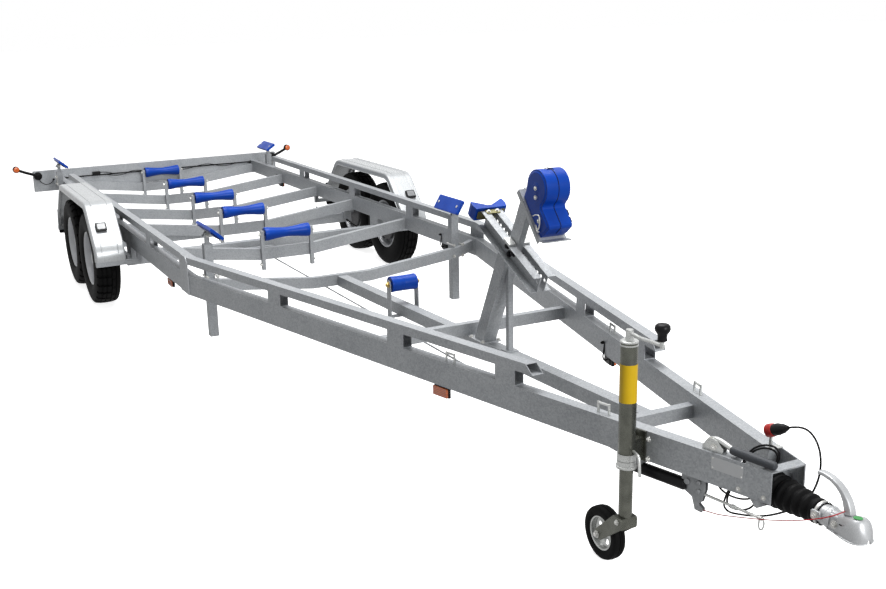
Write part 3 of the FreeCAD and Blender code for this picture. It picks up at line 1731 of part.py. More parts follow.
def cable(label, route, radius):
    """Tube along straight runs joined by arcs as large as the runs allow."""
    points = [Vector(*point) for point in route]
    edges = []
    radii = []
    start = points[0]
    for before, here, after in zip(points, points[1:], points[2:]):
        back = (before - here).normalize()
        ahead = (after - here).normalize()
        turn = math.pi - back.getAngle(ahead)
        shorter = min((before - here).Length, (after - here).Length)
        tangent = 0.45 * shorter
        bend = tangent / math.tan(turn / 2)
        radii.append(round(bend))
        first = here + back * tangent
        last = here + ahead * tangent
        inward = (back + ahead).normalize()
        centre_distance = bend / math.cos(turn / 2)
        middle = here + inward * (centre_distance - bend)
        edges.append(Part.LineSegment(start, first).toShape())
        edges.append(Part.Arc(first, middle, last).toShape())
        start = last
    edges.append(Part.LineSegment(start, points[-1]).toShape())
    path = Part.Wire(edges)
    across = Rotation(ALONG_Z, points[1] - points[0])
    step = 2 * math.pi / CABLE_SIDES
    corners = [
        points[0] + across.multVec(Vector(math.cos(step * n), math.sin(step * n), 0) * radius)
        for n in range(CABLE_SIDES)
    ]
    ring = Part.makePolygon(corners + corners[:1])
    tube = path.makePipeShell([ring], True, False)
    wanted = CABLE_SIDES / 2 * math.sin(step) * radius ** 2 * path.Length
    print(label, "length", round(path.Length), "radii", radii, "volume share", round(tube.Volume / wanted, 4))
    item = doc.addObject("Part::Feature", label)
    item.Shape = tube
    subpart(item, label)


def cables():
    cable("plug_cable", PLUG_ROUTE, size.plug_cable_radius)
    cable("breakaway_cable", BREAKAWAY_ROUTE, size.breakaway_radius)
    radius = size.harness_radius
    x = radius + size.flat_gap - size.frame_rear
    wave = radius / 2
    reach = frame_inner - size.flat_gap
    height = rail_top - radius * 3
    route = [
        (x, reach * (2 * number / HARNESS_RUNS - 1), height + wave * (number % 2))
        for number in range(HARNESS_RUNS + 1)
    ]
    cable("wiring_harness", route, radius)


def tail_lamps():
    """Lamp blocks on the back of the rear beam."""
    lamps = []
    x = -size.frame_rear - size.rear_beam_depth - size.tail_lamp_depth / 2
    for name, side in SIDES.items():
        y = side * (rear_beam_half - size.tail_lamp_inset)
        sizes = ("tail_lamp_depth", "tail_lamp_length", "tail_lamp_height")
        lamps.append(box(f"tail_lamp_{name}", *sizes, (x, y, rear_beam_middle)))
    subpart(group("tail_lamp_group", lamps), "tail_lamps")


def outline_lamps():
    """Clearance lamps on rubber arms at the rear beam's ends."""
    lamps = []
    face = -size.frame_rear + size.flat_gap
    for name, side in SIDES.items():
        root = Vector(
            face + size.lamp_foot_length - size.lamp_arm_side / 2,
            side * (rear_beam_half - size.lamp_foot_inset),
            rail_top + size.rear_beam_rise - size.lamp_foot_radius - size.nose_wall,
        )
        tip = Vector(
            face - size.lamp_head_length / 2, root.y + side * size.lamp_reach, root.z + size.lamp_rise
        )
        arm = bar(f"lamp_arm_{name}", "lamp_arm_side / 2", root, tip, BAR_SIDES)
        head_start = tip - ALONG_X * (size.lamp_head_length / 2)
        head_end = tip + ALONG_X * (size.lamp_head_length / 2)
        head = bar(f"lamp_head_{name}", "lamp_head_radius", head_start, head_end, SMALL_SIDES)
        foot_start = Vector(face, root.y, root.z)
        foot_end = foot_start + ALONG_X * size.lamp_foot_length
        foot = bar(f"lamp_foot_{name}", "lamp_foot_radius", foot_start, foot_end, SMALL_SIDES)
        lamps.append(fuse(f"outline_lamp_{name}", [arm, head, foot]))
    subpart(group("outline_lamp_group", lamps), "outline_lamps")


for name, side in SIDES.items():
    main_rail(name, side)
    guard_rail(name, side)
    mudguard(name, side)
guard_spacers()
bend_plates()
lashing_loops()
marker_lamps()
keel_beams()
roller_brackets()
keel_rollers()
spine()
spine_fork()
spine_roller()
cross_beams()
rear_beam()
tail_lamps()
outline_lamps()
pad_posts()
hull_pads()
road_wheels()
mudguard_stays()
axles()
jockey_tube()
jockey_crank()
jockey_inner()
jockey_fork()
jockey_wheel()
winch_post()
winch_channels()
winch_mount()
winch_housing()
bow_snubber()
overrun_housing()
bellows()
coupling_head()
brake_linkage()
plug()
cables()

# the origin goes under the middle of the overall length
rear_end = -size.frame_rear - size.rear_beam_depth - size.tail_lamp_depth
middle = Placement(Vector(-(coupling_front + rear_end) / 2, 0, 0), Rotation())
doc.recompute()
for item in subparts:
    item.Placement = middle.multiply(item.Placement)

doc.recompute()
for item in doc.Objects:
    bad = [state for state in item.State if state in ("Invalid", "Error")]
    if bad:
        raise RuntimeError(f"{item.Name} is {bad}")
os.makedirs("parts", exist_ok=True)
for item in subparts:
    shape = item.Shape
    if shape.isNull() or not shape.isValid():
        raise RuntimeError(f"{item.Label} has no valid shape")
    shape.exportStep(f"parts/{item.Label}.step")
    bounds = shape.BoundBox
    corners = [bounds.XMin, bounds.XMax, bounds.YMin, bounds.YMax, bounds.ZMin, bounds.ZMax]
    print(item.Label, len(shape.Solids), round(shape.Volume / 1000), [round(c) for c in corners])
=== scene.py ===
import json
import math
import bmesh
import bpy
from mathutils import Matrix, Vector


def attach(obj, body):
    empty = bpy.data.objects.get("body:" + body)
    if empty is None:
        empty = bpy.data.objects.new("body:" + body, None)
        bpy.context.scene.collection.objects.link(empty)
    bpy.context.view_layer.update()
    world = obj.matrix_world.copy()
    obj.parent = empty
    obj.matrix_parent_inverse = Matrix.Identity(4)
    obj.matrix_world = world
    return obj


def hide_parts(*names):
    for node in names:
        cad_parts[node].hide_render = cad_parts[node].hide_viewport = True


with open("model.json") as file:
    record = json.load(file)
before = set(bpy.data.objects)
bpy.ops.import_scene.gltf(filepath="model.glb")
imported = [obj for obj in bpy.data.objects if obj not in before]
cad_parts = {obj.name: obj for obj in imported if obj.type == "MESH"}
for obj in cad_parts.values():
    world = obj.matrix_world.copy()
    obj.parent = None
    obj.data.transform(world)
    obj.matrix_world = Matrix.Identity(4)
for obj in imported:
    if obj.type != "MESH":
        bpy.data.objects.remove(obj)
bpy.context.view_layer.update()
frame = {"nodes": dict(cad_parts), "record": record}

# Sizes and places below are in millimetres. X of the frame counts from the middle of the
# trailer's length, and pieces are placed from midway between the axles.
AXLES_TO_MIDDLE = 1727.5
UP = Vector((0, 0, 1))
AHEAD = Vector((1, 0, 0))
ABOVE = Matrix.Rotation(math.pi / 2, 4, "X")  # brings an outline's second way up
BOTH = (1, -1)
SIDES = {"left": 1, "right": -1}


def mm(x, y, z):
    """The frame's metres from millimetres."""
    return Vector((x / 1000, y / 1000, z / 1000))


def at(x, y, z):
    """A place given from midway between the axles, in the frame."""
    return mm(x - AXLES_TO_MIDDLE, y, z)


def shifted(x, y, z):
    """A move by millimetres."""
    return Matrix.Translation(mm(x, y, z))


def stand_at(x, y, z):
    """A move to a place given from midway between the axles."""
    return Matrix.Translation(at(x, y, z))


def facing(place, direction, spin=0.0):
    """Stand at a place with Z along a direction."""
    turn = Vector(direction).to_track_quat("Z", "Y").to_matrix().to_4x4()
    return Matrix.Translation(Vector(place)) @ turn @ Matrix.Rotation(spin, 4, "Z")


def off(base, way, along, up=0.0):
    """The place that lies so far along a way, and so far up, from a base."""
    return base + (way * along + UP * up) * 0.001


# finishes

class Wire:
    """A socket of a tree's nodes, so that shader sums read as plain sums."""

    def __init__(self, tree, socket):
        self.tree = tree
        self.socket = socket

    def sum_with(self, other, operation, swapped=False):
        a, b = (other, self) if swapped else (self, other)
        return self.tree.node("ShaderNodeMath", {"operation": operation}, a, b)

    def __add__(self, other):
        return self.sum_with(other, "ADD")

    def __radd__(self, other):
        return self.sum_with(other, "ADD", True)

    def __sub__(self, other):
        return self.sum_with(other, "SUBTRACT")

    def __rsub__(self, other):
        return self.sum_with(other, "SUBTRACT", True)

    def __mul__(self, other):
        return self.sum_with(other, "MULTIPLY")

    def __rmul__(self, other):
        return self.sum_with(other, "MULTIPLY", True)


class Nodes:
    """The node tree of a material or of the world."""

    def __init__(self, tree):
        self.tree = tree

    def node(self, kind, settings, *values, output=0, **named):
        made = self.tree.nodes.new(kind)
        for key, value in settings.items():
            setattr(made, key, value)
        for key, value in list(enumerate(values)) + list(named.items()):
            if isinstance(value, Wire):
                self.tree.links.new(value.socket, made.inputs[key])
            else:
                made.inputs[key].default_value = value
        return Wire(self, made.outputs[output] if made.outputs else None)


class Finish(Nodes):
    """One material of the trailer and the nodes that it is made of."""

    def __init__(self, name, colour, roughness, metallic=0.0):
        self.material = bpy.data.materials.new(name)
        self.material.use_nodes = True
        super().__init__(self.material.node_tree)
        self.shader = self.tree.nodes["Principled BSDF"]
        self.shader.inputs["Base Color"].default_value = (*colour, 1)
        self.shader.inputs["Roughness"].default_value = roughness
        self.shader.inputs["Metallic"].default_value = metallic

    def place(self):
        return self.node("ShaderNodeTexCoord", {}, output="Object")

    def noise(self, scale, detail):
        return self.node("ShaderNodeTexNoise", {}, Vector=self.place(), Scale=scale, Detail=detail)

    def bands(self, scale, distortion):
        return self.node(
            "ShaderNodeTexWave", {"wave_type": "BANDS", "bands_direction": "Z"},
            Vector=self.place(), Scale=scale, Distortion=distortion, output="Fac",
        )

    def span(self, value, low, high, to_low, to_high):
        """Value between low and high, brought between to_low and to_high."""
        return self.node("ShaderNodeMapRange", {}, value, low, high, to_low, to_high)

    def colours(self, share, first, second):
        """Base colour mixed from two colours."""
        made = self.node("ShaderNodeMix", {"data_type": "RGBA"}, share, output=2)
        for number, colour in ((6, first), (7, second)):
            made.socket.node.inputs[number].default_value = (*colour, 1)
        self.feed("Base Color", made)

    def feed(self, name, wire):
        self.tree.links.new(wire.socket, self.shader.inputs[name])

    def bump(self, height, strength, distance):
        self.feed("Normal", self.node(
            "ShaderNodeBump", {}, Height=height, Strength=strength, Distance=distance
        ))


def galvanised(name, light, dark, roughness, metallic, scale=190.0):
    """Zinc that froze in pale and dark flakes, with soft cloudy stains."""
    finish = Finish(name, light, roughness, metallic)
    flakes = finish.node(
        "ShaderNodeTexVoronoi", {"feature": "F1"}, Vector=finish.place(), Scale=scale, output="Color"
    )
    flake = finish.node("ShaderNodeSeparateColor", {}, flakes)
    clouds = finish.noise(2.6, 5.0)
    streaks = finish.noise(14.0, 3.0)
    grain = finish.noise(scale * 3.2, 2.0)
    stain = flake * 0.42 + clouds * 0.62 + streaks * 0.28 + grain * 0.2
    finish.colours(finish.span(stain, 0.42, 1.18, 0.0, 1.0), light, dark)
    finish.feed("Roughness", finish.span(flake, 0.0, 1.0, roughness - 0.07, roughness + 0.09))
    finish.bump(grain + flake * 0.3 + streaks * 0.5, 0.07, 0.0005)
    return finish


def moulded(name, colour, dark, roughness, shine=0.35):
    """Plastic with a fine grain and faint flow marks."""
    finish = Finish(name, colour, roughness)
    finish.shader.inputs["Specular IOR Level"].default_value = shine
    flow = finish.noise(9.0, 3.0)
    finish.colours(finish.span(flow, 0.35, 0.7, 0.0, 1.0), colour, dark)
    finish.feed("Roughness", finish.span(flow, 0.3, 0.7, roughness - 0.06, roughness + 0.08))
    finish.bump(finish.noise(900.0, 2.0), 0.12, 0.0003)
    return finish


def rubber(name, colour, dust, roughness):
    """Black rubber with pale dust in the low places and a dull bloom."""
    finish = Finish(name, colour, roughness)
    finish.shader.inputs["Specular IOR Level"].default_value = 0.10
    specks = finish.noise(160.0, 3.0)
    bloom = finish.noise(5.0, 5.0) * 0.7 + specks * 0.4
    finish.colours(finish.span(bloom, 0.42, 0.85, 0.0, 0.4), colour, dust)
    finish.feed("Roughness", finish.span(specks, 0.3, 0.7, roughness - 0.08, roughness + 0.08))
    finish.bump(specks + finish.noise(700.0, 2.0) * 0.5, 0.18, 0.0004)
    return finish


def plated(name, light, dark, roughness, metallic):
    """Bright plated metal with faint clouding and fine scratches."""
    finish = Finish(name, light, roughness, metallic)
    fine = finish.noise(260.0, 2.0)
    finish.colours(finish.span(finish.noise(24.0, 4.0) + fine * 0.25, 0.4, 0.85, 0.0, 1.0), light, dark)
    finish.feed("Roughness", finish.span(fine, 0.3, 0.7, roughness - 0.06, roughness + 0.1))
    finish.bump(fine, 0.02, 0.0001)
    return finish


def woven(name, colour, dark, roughness):
    """Strap webbing with its cross threads."""
    finish = Finish(name, colour, roughness)
    threads = finish.bands(220.0, 1.5)
    finish.colours(threads, dark, colour)
    finish.bump(threads, 0.4, 0.0006)
    return finish


def lens(name, colour, dark, roughness):
    """Ribbed lamp lens, with the bright reflector showing through as painted reflection in lighter bands.
    """
    finish = Finish(name, colour, roughness)
    ribs = finish.bands(42.0, 0.0)
    # lighter bands over the ribs and noise: painted reflection of the reflector behind the lens
    depth = ribs * 0.7 + finish.noise(60.0, 2.0) * 0.5
    finish.colours(finish.span(depth, 0.2, 1.0, 0.0, 1.0), dark, colour)
    finish.shader.inputs["Coat Weight"].default_value = 0.6
    finish.bump(ribs, 0.25, 0.0008)
    return finish


FINISHES = {
    "galvanised": galvanised("galvanised_steel", (0.42, 0.435, 0.45), (0.245, 0.26, 0.278), 0.48, 0.34),
    "roller_blue": moulded("blue_plastic", (0.003, 0.058, 0.410), (0.002, 0.043, 0.330), 0.34, 0.16),
    "tyre": rubber("tyre_rubber", (0.0020, 0.0020, 0.0022), (0.007, 0.007, 0.0065), 0.75),
    "rim_steel": galvanised("rim_paint", (0.55, 0.56, 0.58), (0.42, 0.43, 0.45), 0.42, 0.35, 420.0),
    "black_rubber": rubber("black_rubber", (0.0020, 0.0020, 0.0022), (0.005, 0.005, 0.0055), 0.6),
    "black_plastic": moulded("black_plastic", (0.005, 0.005, 0.006), (0.009, 0.009, 0.010), 0.38, 0.14),
    "zinc_bright": plated("bright_zinc", (0.60, 0.61, 0.60), (0.42, 0.43, 0.42), 0.30, 0.65),
    "lamp_red": lens("red_lens", (0.50, 0.008, 0.010), (0.20, 0.003, 0.004), 0.12),
    "lamp_amber": lens("amber_lens", (0.86, 0.17, 0.008), (0.50, 0.07, 0.004), 0.12),
    "cable_black": moulded("black_sheath", (0.005, 0.005, 0.006), (0.009, 0.009, 0.010), 0.45, 0.12),
    "cable_red": moulded("red_sheath", (0.52, 0.012, 0.020), (0.35, 0.008, 0.014), 0.35),
    "grip_grey": moulded("grey_grip", (0.055, 0.060, 0.068), (0.040, 0.043, 0.050), 0.5, 0.25),
    "fastener": plated("plated_bolts", (0.66, 0.66, 0.64), (0.46, 0.46, 0.44), 0.32, 0.60),
    "brass_bolt": plated("yellow_plated_bolts", (0.55, 0.40, 0.14), (0.34, 0.25, 0.09), 0.32, 0.75),
    "olive_zinc": plated("olive_plating", (0.30, 0.27, 0.13), (0.16, 0.15, 0.07), 0.38, 0.55),
    "zinc_dull": plated("dull_zinc", (0.34, 0.35, 0.36), (0.22, 0.23, 0.24), 0.5, 0.45),
    "cast_iron": galvanised("cast_iron", (0.10, 0.10, 0.105), (0.045, 0.045, 0.048), 0.6, 0.35, 260.0),
    "cast_silver": galvanised("cast_coupling", (0.52, 0.53, 0.54), (0.36, 0.37, 0.38), 0.42, 0.55, 520.0),
    "mudguard_zinc": plated("mudguard_sheet", (0.44, 0.455, 0.465), (0.425, 0.44, 0.45), 0.28, 0.30),
    "lens_clear": lens("clear_lens", (0.30, 0.31, 0.32), (0.15, 0.155, 0.16), 0.10),
    "blank_plate": plated("blank_plate", (0.47, 0.48, 0.49), (0.45, 0.46, 0.47), 0.34, 0.35),
    "webbing": woven("strap_webbing", (0.045, 0.045, 0.05), (0.016, 0.016, 0.018), 0.75),
    "band_yellow": moulded("yellow_band", (0.74, 0.48, 0.006), (0.66, 0.42, 0.005), 0.40),
    "jockey_zinc": plated("passivated_zinc", (0.135, 0.138, 0.118), (0.078, 0.080, 0.068), 0.27, 0.85),
    "strap_sand": woven("sand_strap", (0.42, 0.36, 0.24), (0.22, 0.18, 0.11), 0.8),
    "patch_green": moulded("green_patch", (0.040, 0.30, 0.070), (0.030, 0.22, 0.050), 0.45),
    "plug_red": moulded("red_cap", (0.58, 0.020, 0.016), (0.42, 0.012, 0.010), 0.30),
}
SLOTS = {row["slot"] for row in frame["record"]["materials"]}
JOCKEY_NODES = ("jockey_tube", "jockey_inner", "jockey_clamp")

slot_of = {row["node"]: row["material_slot"] for row in frame["record"]["subparts"]}
for name, item in frame["nodes"].items():
    item.data.materials.clear()
    item.data.materials.append(FINISHES["jockey_zinc" if name in JOCKEY_NODES else slot_of[name]].material)

# camera and lights

CAMERA_PLACE = at(8122.6, -2454.7, 1962.3)
CAMERA_YAW, CAMERA_PITCH, CAMERA_ROLL = (math.radians(turn) for turn in (154.0737, -15.0181, -1.5341))
PICTURE_WIDTH = 886
FOCAL_PIXELS = 1111.33
CENTRE_OFFSET_PIXELS = (-24.63, 8.56)
SENSOR_WIDTH = 36


def make_camera():
    ahead = Vector((
        math.cos(CAMERA_PITCH) * math.cos(CAMERA_YAW),
        math.cos(CAMERA_PITCH) * math.sin(CAMERA_YAW),
        math.sin(CAMERA_PITCH),
    ))
    level = ahead.cross(UP).normalized()
    upright = level.cross(ahead)
    right = level * math.cos(CAMERA_ROLL) + upright * math.sin(CAMERA_ROLL)
    up = upright * math.cos(CAMERA_ROLL) - level * math.sin(CAMERA_ROLL)
    data = bpy.data.cameras.new("camera")
    data.sensor_fit = "HORIZONTAL"
    data.sensor_width = SENSOR_WIDTH
    data.lens = FOCAL_PIXELS / PICTURE_WIDTH * SENSOR_WIDTH
    data.shift_x = -CENTRE_OFFSET_PIXELS[0] / PICTURE_WIDTH
    data.shift_y = CENTRE_OFFSET_PIXELS[1] / PICTURE_WIDTH
    data.clip_end = 200
    camera = bpy.data.objects.new("camera", data)
    turn = Matrix((right, up, -ahead)).transposed()
    camera.matrix_world = Matrix.Translation(CAMERA_PLACE) @ turn.to_4x4()
    bpy.context.scene.collection.objects.link(camera)
    bpy.context.scene.camera = camera


def make_light(name, place, target, size, power):
    data = bpy.data.lights.new(name, "AREA")
    data.shape = "DISK"
    data.size = size
    data.energy = power
    lamp = bpy.data.objects.new(name, data)
    lamp.location = place
    lamp.rotation_mode = "QUATERNION"
    lamp.rotation_quaternion = (target - place).to_track_quat("-Z", "Y")
    bpy.context.scene.collection.objects.link(lamp)


def make_world():
    """White for the camera and in reflections, and soft light on everything else."""
    world = bpy.data.worlds.new("studio")
    bpy.context.scene.world = world
    world.use_nodes = True
    world.node_tree.nodes.clear()
    studio = Nodes(world.node_tree)
    seen = 0.0
    for ray in ("Is Camera Ray", "Is Glossy Ray", "Is Transmission Ray"):
        rays = studio.node("ShaderNodeLightPath", {}, output=ray)
        seen = studio.node("ShaderNodeMath", {"operation": "MAXIMUM"}, seen, rays)
    soft, white = (
        studio.node("ShaderNodeBackground", {}, Color=(1, 1, 1, 1), Strength=strength)
        for strength in (0.20, 1.0)
    )
    studio.node("ShaderNodeOutputWorld", {}, studio.node("ShaderNodeMixShader", {}, seen, soft, white))


def make_floor():
    """Pale floor that shows white around the trailer and keeps its shadow."""
    bpy.ops.object.select_all(action="DESELECT")
    bpy.ops.mesh.primitive_plane_add(size=120, location=(0, 0, -0.0005))
    floor = bpy.context.object
    floor.name = "floor"
    finish = Finish("floor_paper", (0.8, 0.8, 0.8), 0.9)
    seen, shiny = (
        finish.node("ShaderNodeLightPath", {}, output=ray) for ray in ("Is Camera Ray", "Is Glossy Ray")
    )
    glow, glint = (
        finish.node("ShaderNodeEmission", {}, Color=(1, 1, 1, 1), Strength=strength)
        for strength in (0.84, 0.9)
    )
    shown = finish.node("ShaderNodeAddShader", {}, Wire(finish, finish.shader.outputs[0]), glow)
    dull = finish.node("ShaderNodeBsdfDiffuse", {}, Color=(0.2, 0.2, 0.2, 1))
    unseen = finish.node("ShaderNodeMixShader", {}, shiny, dull, glint)
    chosen = finish.node("ShaderNodeMixShader", {}, seen, unseen, shown)
    out = finish.tree.nodes["Material Output"]
    finish.tree.links.new(chosen.socket, out.inputs["Surface"])
    floor.data.materials.append(finish.material)


# ways of making pieces

def start(kind, **settings):
    """A primitive in edit mode, alone and all of it selected."""
    bpy.ops.object.select_all(action="DESELECT")
    getattr(bpy.ops.mesh, f"primitive_{kind}_add")(**settings)
    bpy.ops.object.mode_set(mode="EDIT")
    bpy.ops.mesh.select_mode(type="VERT")
    bpy.ops.mesh.select_all(action="SELECT")
    return bpy.context.object


def pick(piece, wanted):
    """Selects the faces whose middle and normal are wanted."""
    bpy.ops.mesh.select_mode(type="FACE")
    bpy.ops.mesh.select_all(action="DESELECT")
    mesh = bmesh.from_edit_mesh(piece.data)
    for face in mesh.faces:
        face.select_set(wanted(face.calc_center_median() * 1000, face.normal))
    mesh.select_flush_mode()
    bmesh.update_edit_mesh(piece.data)


def inset(thickness, depth=0.0, each=False):
    """Draws the picked faces in, and sinks or raises them."""
    bpy.ops.mesh.inset(thickness=thickness / 1000, depth=depth / 1000, use_individual=each)


def lathe(stations, sides, solid=True):
    """Rings pulled out of one circle along Z, each at its height and radius."""
    (height, radius), *rest = [(high / 1000, wide / 1000) for high, wide in stations]
    fill = "NGON" if solid else "NOTHING"
    piece = start("circle", vertices=sides, radius=radius, fill_type=fill, location=(0, 0, height))
    for next_height, next_radius in rest:
        bpy.ops.mesh.extrude_region_move(TRANSFORM_OT_translate={"value": (0, 0, next_height - height)})
        share = next_radius / radius
        bpy.ops.transform.resize(value=(share, share, 1), center_override=(0, 0, next_height))
        height, radius = next_height, next_radius
    return piece


def sheet(outline, thickness):
    """Flat piece cut to an outline in XY and pulled up to its thickness."""
    piece = start("circle", vertices=len(outline), radius=1, fill_type="NGON")
    mesh = bmesh.from_edit_mesh(piece.data)
    mesh.verts.ensure_lookup_table()
    for number, (x, y) in enumerate(outline):
        mesh.verts[number].co = mm(x, y, 0)
    bmesh.update_edit_mesh(piece.data)
    bpy.ops.mesh.extrude_region_move(TRANSFORM_OT_translate={"value": mm(0, 0, thickness)})
    return piece


def block(*sizes):
    """Box about the origin."""
    piece = start("cube", size=1)
    bpy.ops.transform.resize(value=mm(*sizes), center_override=(0, 0, 0))
    return piece


def use(piece, kind, **settings):
    """Adds a modifier and applies it."""
    modifier = piece.modifiers.new(kind, kind)
    for key, value in settings.items():
        setattr(modifier, key, value)
    bpy.ops.object.modifier_apply(modifier=modifier.name)


def put(piece, place=None, bevel=0.0, steps=2, wall=0.0, tidy=True):
    """Leaves edit mode, brings the piece to its place, and gives it a wall and broken edges."""
    bpy.ops.mesh.select_all(action="SELECT")
    if tidy:
        bpy.ops.mesh.remove_doubles(threshold=0.00002)
        bpy.ops.mesh.normals_make_consistent(inside=False)
    bpy.ops.object.mode_set(mode="OBJECT")
    if place is not None:
        piece.matrix_world = place @ piece.matrix_world
    bpy.ops.object.transform_apply(location=True, rotation=True, scale=True)
    if wall:
        use(piece, "SOLIDIFY", thickness=abs(wall) / 1000, offset=math.copysign(1, wall))
    if bevel:
        use(piece, "BEVEL", width=bevel / 1000, segments=steps, limit_method="ANGLE", angle_limit=0.7)
    return piece


def turned(stations, sides, place=None, bevel=0.0, **more):
    return put(lathe(stations, sides), place, bevel, **more)


def ringed(stations, sides, place=None, **more):
    """Turned piece that is open at its ends."""
    return put(lathe(stations, sides, solid=False), place, **more)


def cut(outline, thickness, place, bevel, steps=2):
    """Plate of an outline, set in its place."""
    return put(sheet(outline, thickness), place, bevel, steps)


def box(sizes, place, bevel=0.0, steps=2):
    return put(block(*sizes), place, bevel, steps)


def new_curve(name, points, radius, sides, smooth=True):
    """Round line through control points in the frame."""
    data = bpy.data.curves.new(name, "CURVE")
    data.dimensions = "3D"
    data.bevel_depth = radius / 1000
    data.bevel_resolution = sides
    data.use_fill_caps = True
    line = data.splines.new("NURBS" if smooth else "POLY")
    line.points.add(len(points) - 1)
    for knot, point in zip(line.points, points):
        knot.co = (*point, 1)
    if smooth:
        line.order_u = 3
        line.use_endpoint_u = True
    piece = bpy.data.objects.new(name, data)
    bpy.context.scene.collection.objects.link(piece)
    return piece


def bar(points, radius, sides=3, place=None, smooth=True):
    """Round bar along a line through control points."""
    piece = new_curve("bar", points, radius, sides, smooth)
    bpy.ops.object.select_all(action="DESELECT")
    piece.select_set(True)
    bpy.context.view_layer.objects.active = piece
    bpy.ops.object.convert(target="MESH")
    bpy.ops.object.mode_set(mode="EDIT")
    bpy.ops.mesh.select_all(action="SELECT")
    return put(piece, place)


def through(spots, radius, sides=3, smooth=True):
    """Bar through places given from midway between the axles."""
    return bar([at(*spot) for spot in spots], radius, sides, smooth=smooth)


def joined(name, pieces):
    """One object of several."""
    bpy.ops.object.select_all(action="DESELECT")
    for piece in pieces:
        piece.select_set(True)
    bpy.context.view_layer.objects.active = pieces[0]
    if len(pieces) > 1:
        bpy.ops.object.join()
    whole = bpy.context.object
    whole.name = name
    whole.data.name = name
    return whole


def dress(name, pieces, finish, body="trailer_frame", stands_for=(), smooth=35):
    """Makes one named piece, with its finish, its shading and the body that carries it."""
    piece = joined(name, pieces if isinstance(pieces, list) else [pieces])
    bpy.ops.object.shade_smooth_by_angle(angle=math.radians(smooth))
    use(piece, "WEIGHTED_NORMAL", keep_sharp=True, weight=90)
    piece.data.materials.clear()
    piece.data.materials.append(FINISHES[finish].material)
    finish in SLOTS
    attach(piece, body)
    if stands_for:
        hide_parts(*stands_for)
    return piece


def twin(pattern, place):
    """The pattern's mesh set down at a place."""
    made = pattern.copy()
    made.data = pattern.data.copy()
    made.data.transform(place)
    bpy.context.scene.collection.objects.link(made)
    return made


def copies(pattern, places):
    """The pattern's mesh set down at each place; the pattern goes."""
    made = [twin(pattern, place) for place in places]
    bpy.data.objects.remove(pattern)
    return made


def hex_bolt(size):
    """Hexagon head on a washer, with the threaded end's dome in the middle."""
    return joined("bolt", [
        turned([(low * size, foot * size), (high * size, top * size)], sides, bevel=edge)
        for low, foot, high, top, sides, edge in (
            (0, 11.5, 1.8, 11.5, 20, 0.4), (1.8, 8.6, 8.2, 8.6, 6, 0.8), (8, 4.5, 10.5, 4, 12, 0.8)
        )
    ])


def heads(name, stands, size=1.0, finish="fastener", body="trailer_frame"):
    """Bolts at their stands, as one piece."""
    return dress(name, copies(hex_bolt(size), stands), finish, body)


def bolts(name, places, body="trailer_frame", finish="fastener", size=1.0):
    """Bolts at their places, each given by a spot and the way that its head looks."""
    stands = [facing(at(*spot), way, number) for number, (spot, way) in enumerate(places)]
    return heads(name, stands, size, finish, body)


def arc(cx, cy, radius, start_deg, end_deg, steps):
    """Points round part of a circle."""
    made = []
    for number in range(steps + 1):
        angle = math.radians(start_deg + (end_deg - start_deg) * number / steps)
        made.append((cx + radius * math.cos(angle), cy + radius * math.sin(angle)))
    return made


def rounded(points, radius, steps=4, closed=True):
    """The outline with each corner turned into an arc."""
    made = []
    count = len(points)
    for number, point in enumerate(points):
        if not closed and number in (0, count - 1):
            made.append(point)
            continue
        here = Vector(point)
        back = (Vector(points[number - 1]) - here).normalized()
        ahead = (Vector(points[(number + 1) % count]) - here).normalized()
        reach = radius * math.tan((math.pi - back.angle(ahead)) / 2)
        for step in range(steps + 1):
            share = step / steps
            low = (here + back * reach).lerp(here, share)
            made.append(tuple(low.lerp(here.lerp(here + ahead * reach, share), share)))
    return made


def rectangle(half_x, half_y, corner):
    """Outline of a plate with round corners."""
    points = [(-half_x, -half_y), (half_x, -half_y), (half_x, half_y), (-half_x, half_y)]
    return rounded(points, corner)


def mirrored(half):
    """Stations of a turned piece from its outer half, which is given from the side inwards."""
    return [(-place, radius) for place, radius in half] + half[::-1]


def polar(middle, sector_deg):
    """Radius of a face's middle, and the number of its sector."""
    angle = math.degrees(math.atan2(middle.y, middle.x)) % 360
    return math.hypot(middle.x, middle.y), int(angle / sector_deg)


# where the rails run, as in the part's sizes
BEND_FRONT = 2083
NOSE_FRONT = 5713
RAIL_HALF = 952
NOSE_HALF = 72
RAIL_WIDTH = 50
DRAW_IN = math.atan2(RAIL_HALF - NOSE_HALF, NOSE_FRONT - BEND_FRONT)
RAIL_WAY = Vector((math.cos(DRAW_IN), math.sin(DRAW_IN), 0))
RAIL_OUT = Vector((math.sin(DRAW_IN), -math.cos(DRAW_IN), 0))
RAIL_TURN = Matrix((RAIL_WAY, UP, RAIL_WAY.cross(UP))).transposed().to_4x4()


def rail_outer(x):
    """Distance of a rail's outer side from the middle of the trailer."""
    return RAIL_HALF - max(0.0, x - BEND_FRONT) * math.tan(DRAW_IN)


def rail_inner(x):
    """Distance of a rail's inner side from the middle of the trailer."""
    corner = BEND_FRONT - RAIL_WIDTH * math.tan(DRAW_IN / 2)
    return RAIL_HALF - RAIL_WIDTH - max(0.0, x - corner) * math.tan(DRAW_IN)


# road wheels

TYRE_RINGS = [
    (62, 181), (70, 186), (78, 199), (84.5, 222), (86.8, 246), (85.8, 252), (86.8, 258), (85, 276),
    (80, 296), (74.5, 306.5), (66.5, 313), (50, 316.5), (49.2, 309.5), (43, 309.5), (42, 318),
    (20.5, 319.5), (19.8, 311.5), (13.5, 311.5), (12.8, 320),
]
TYRE_SIDES = 84
TYRE_RADIUS = 320
AXLE_STEP = 327.5
TRACK_HALF = 1129
WHEELS = {
    f"{end}_{name}": (sign * AXLE_STEP, side * TRACK_HALF)
    for end, sign in (("front", 1), ("rear", -1)) for name, side in SIDES.items()
}


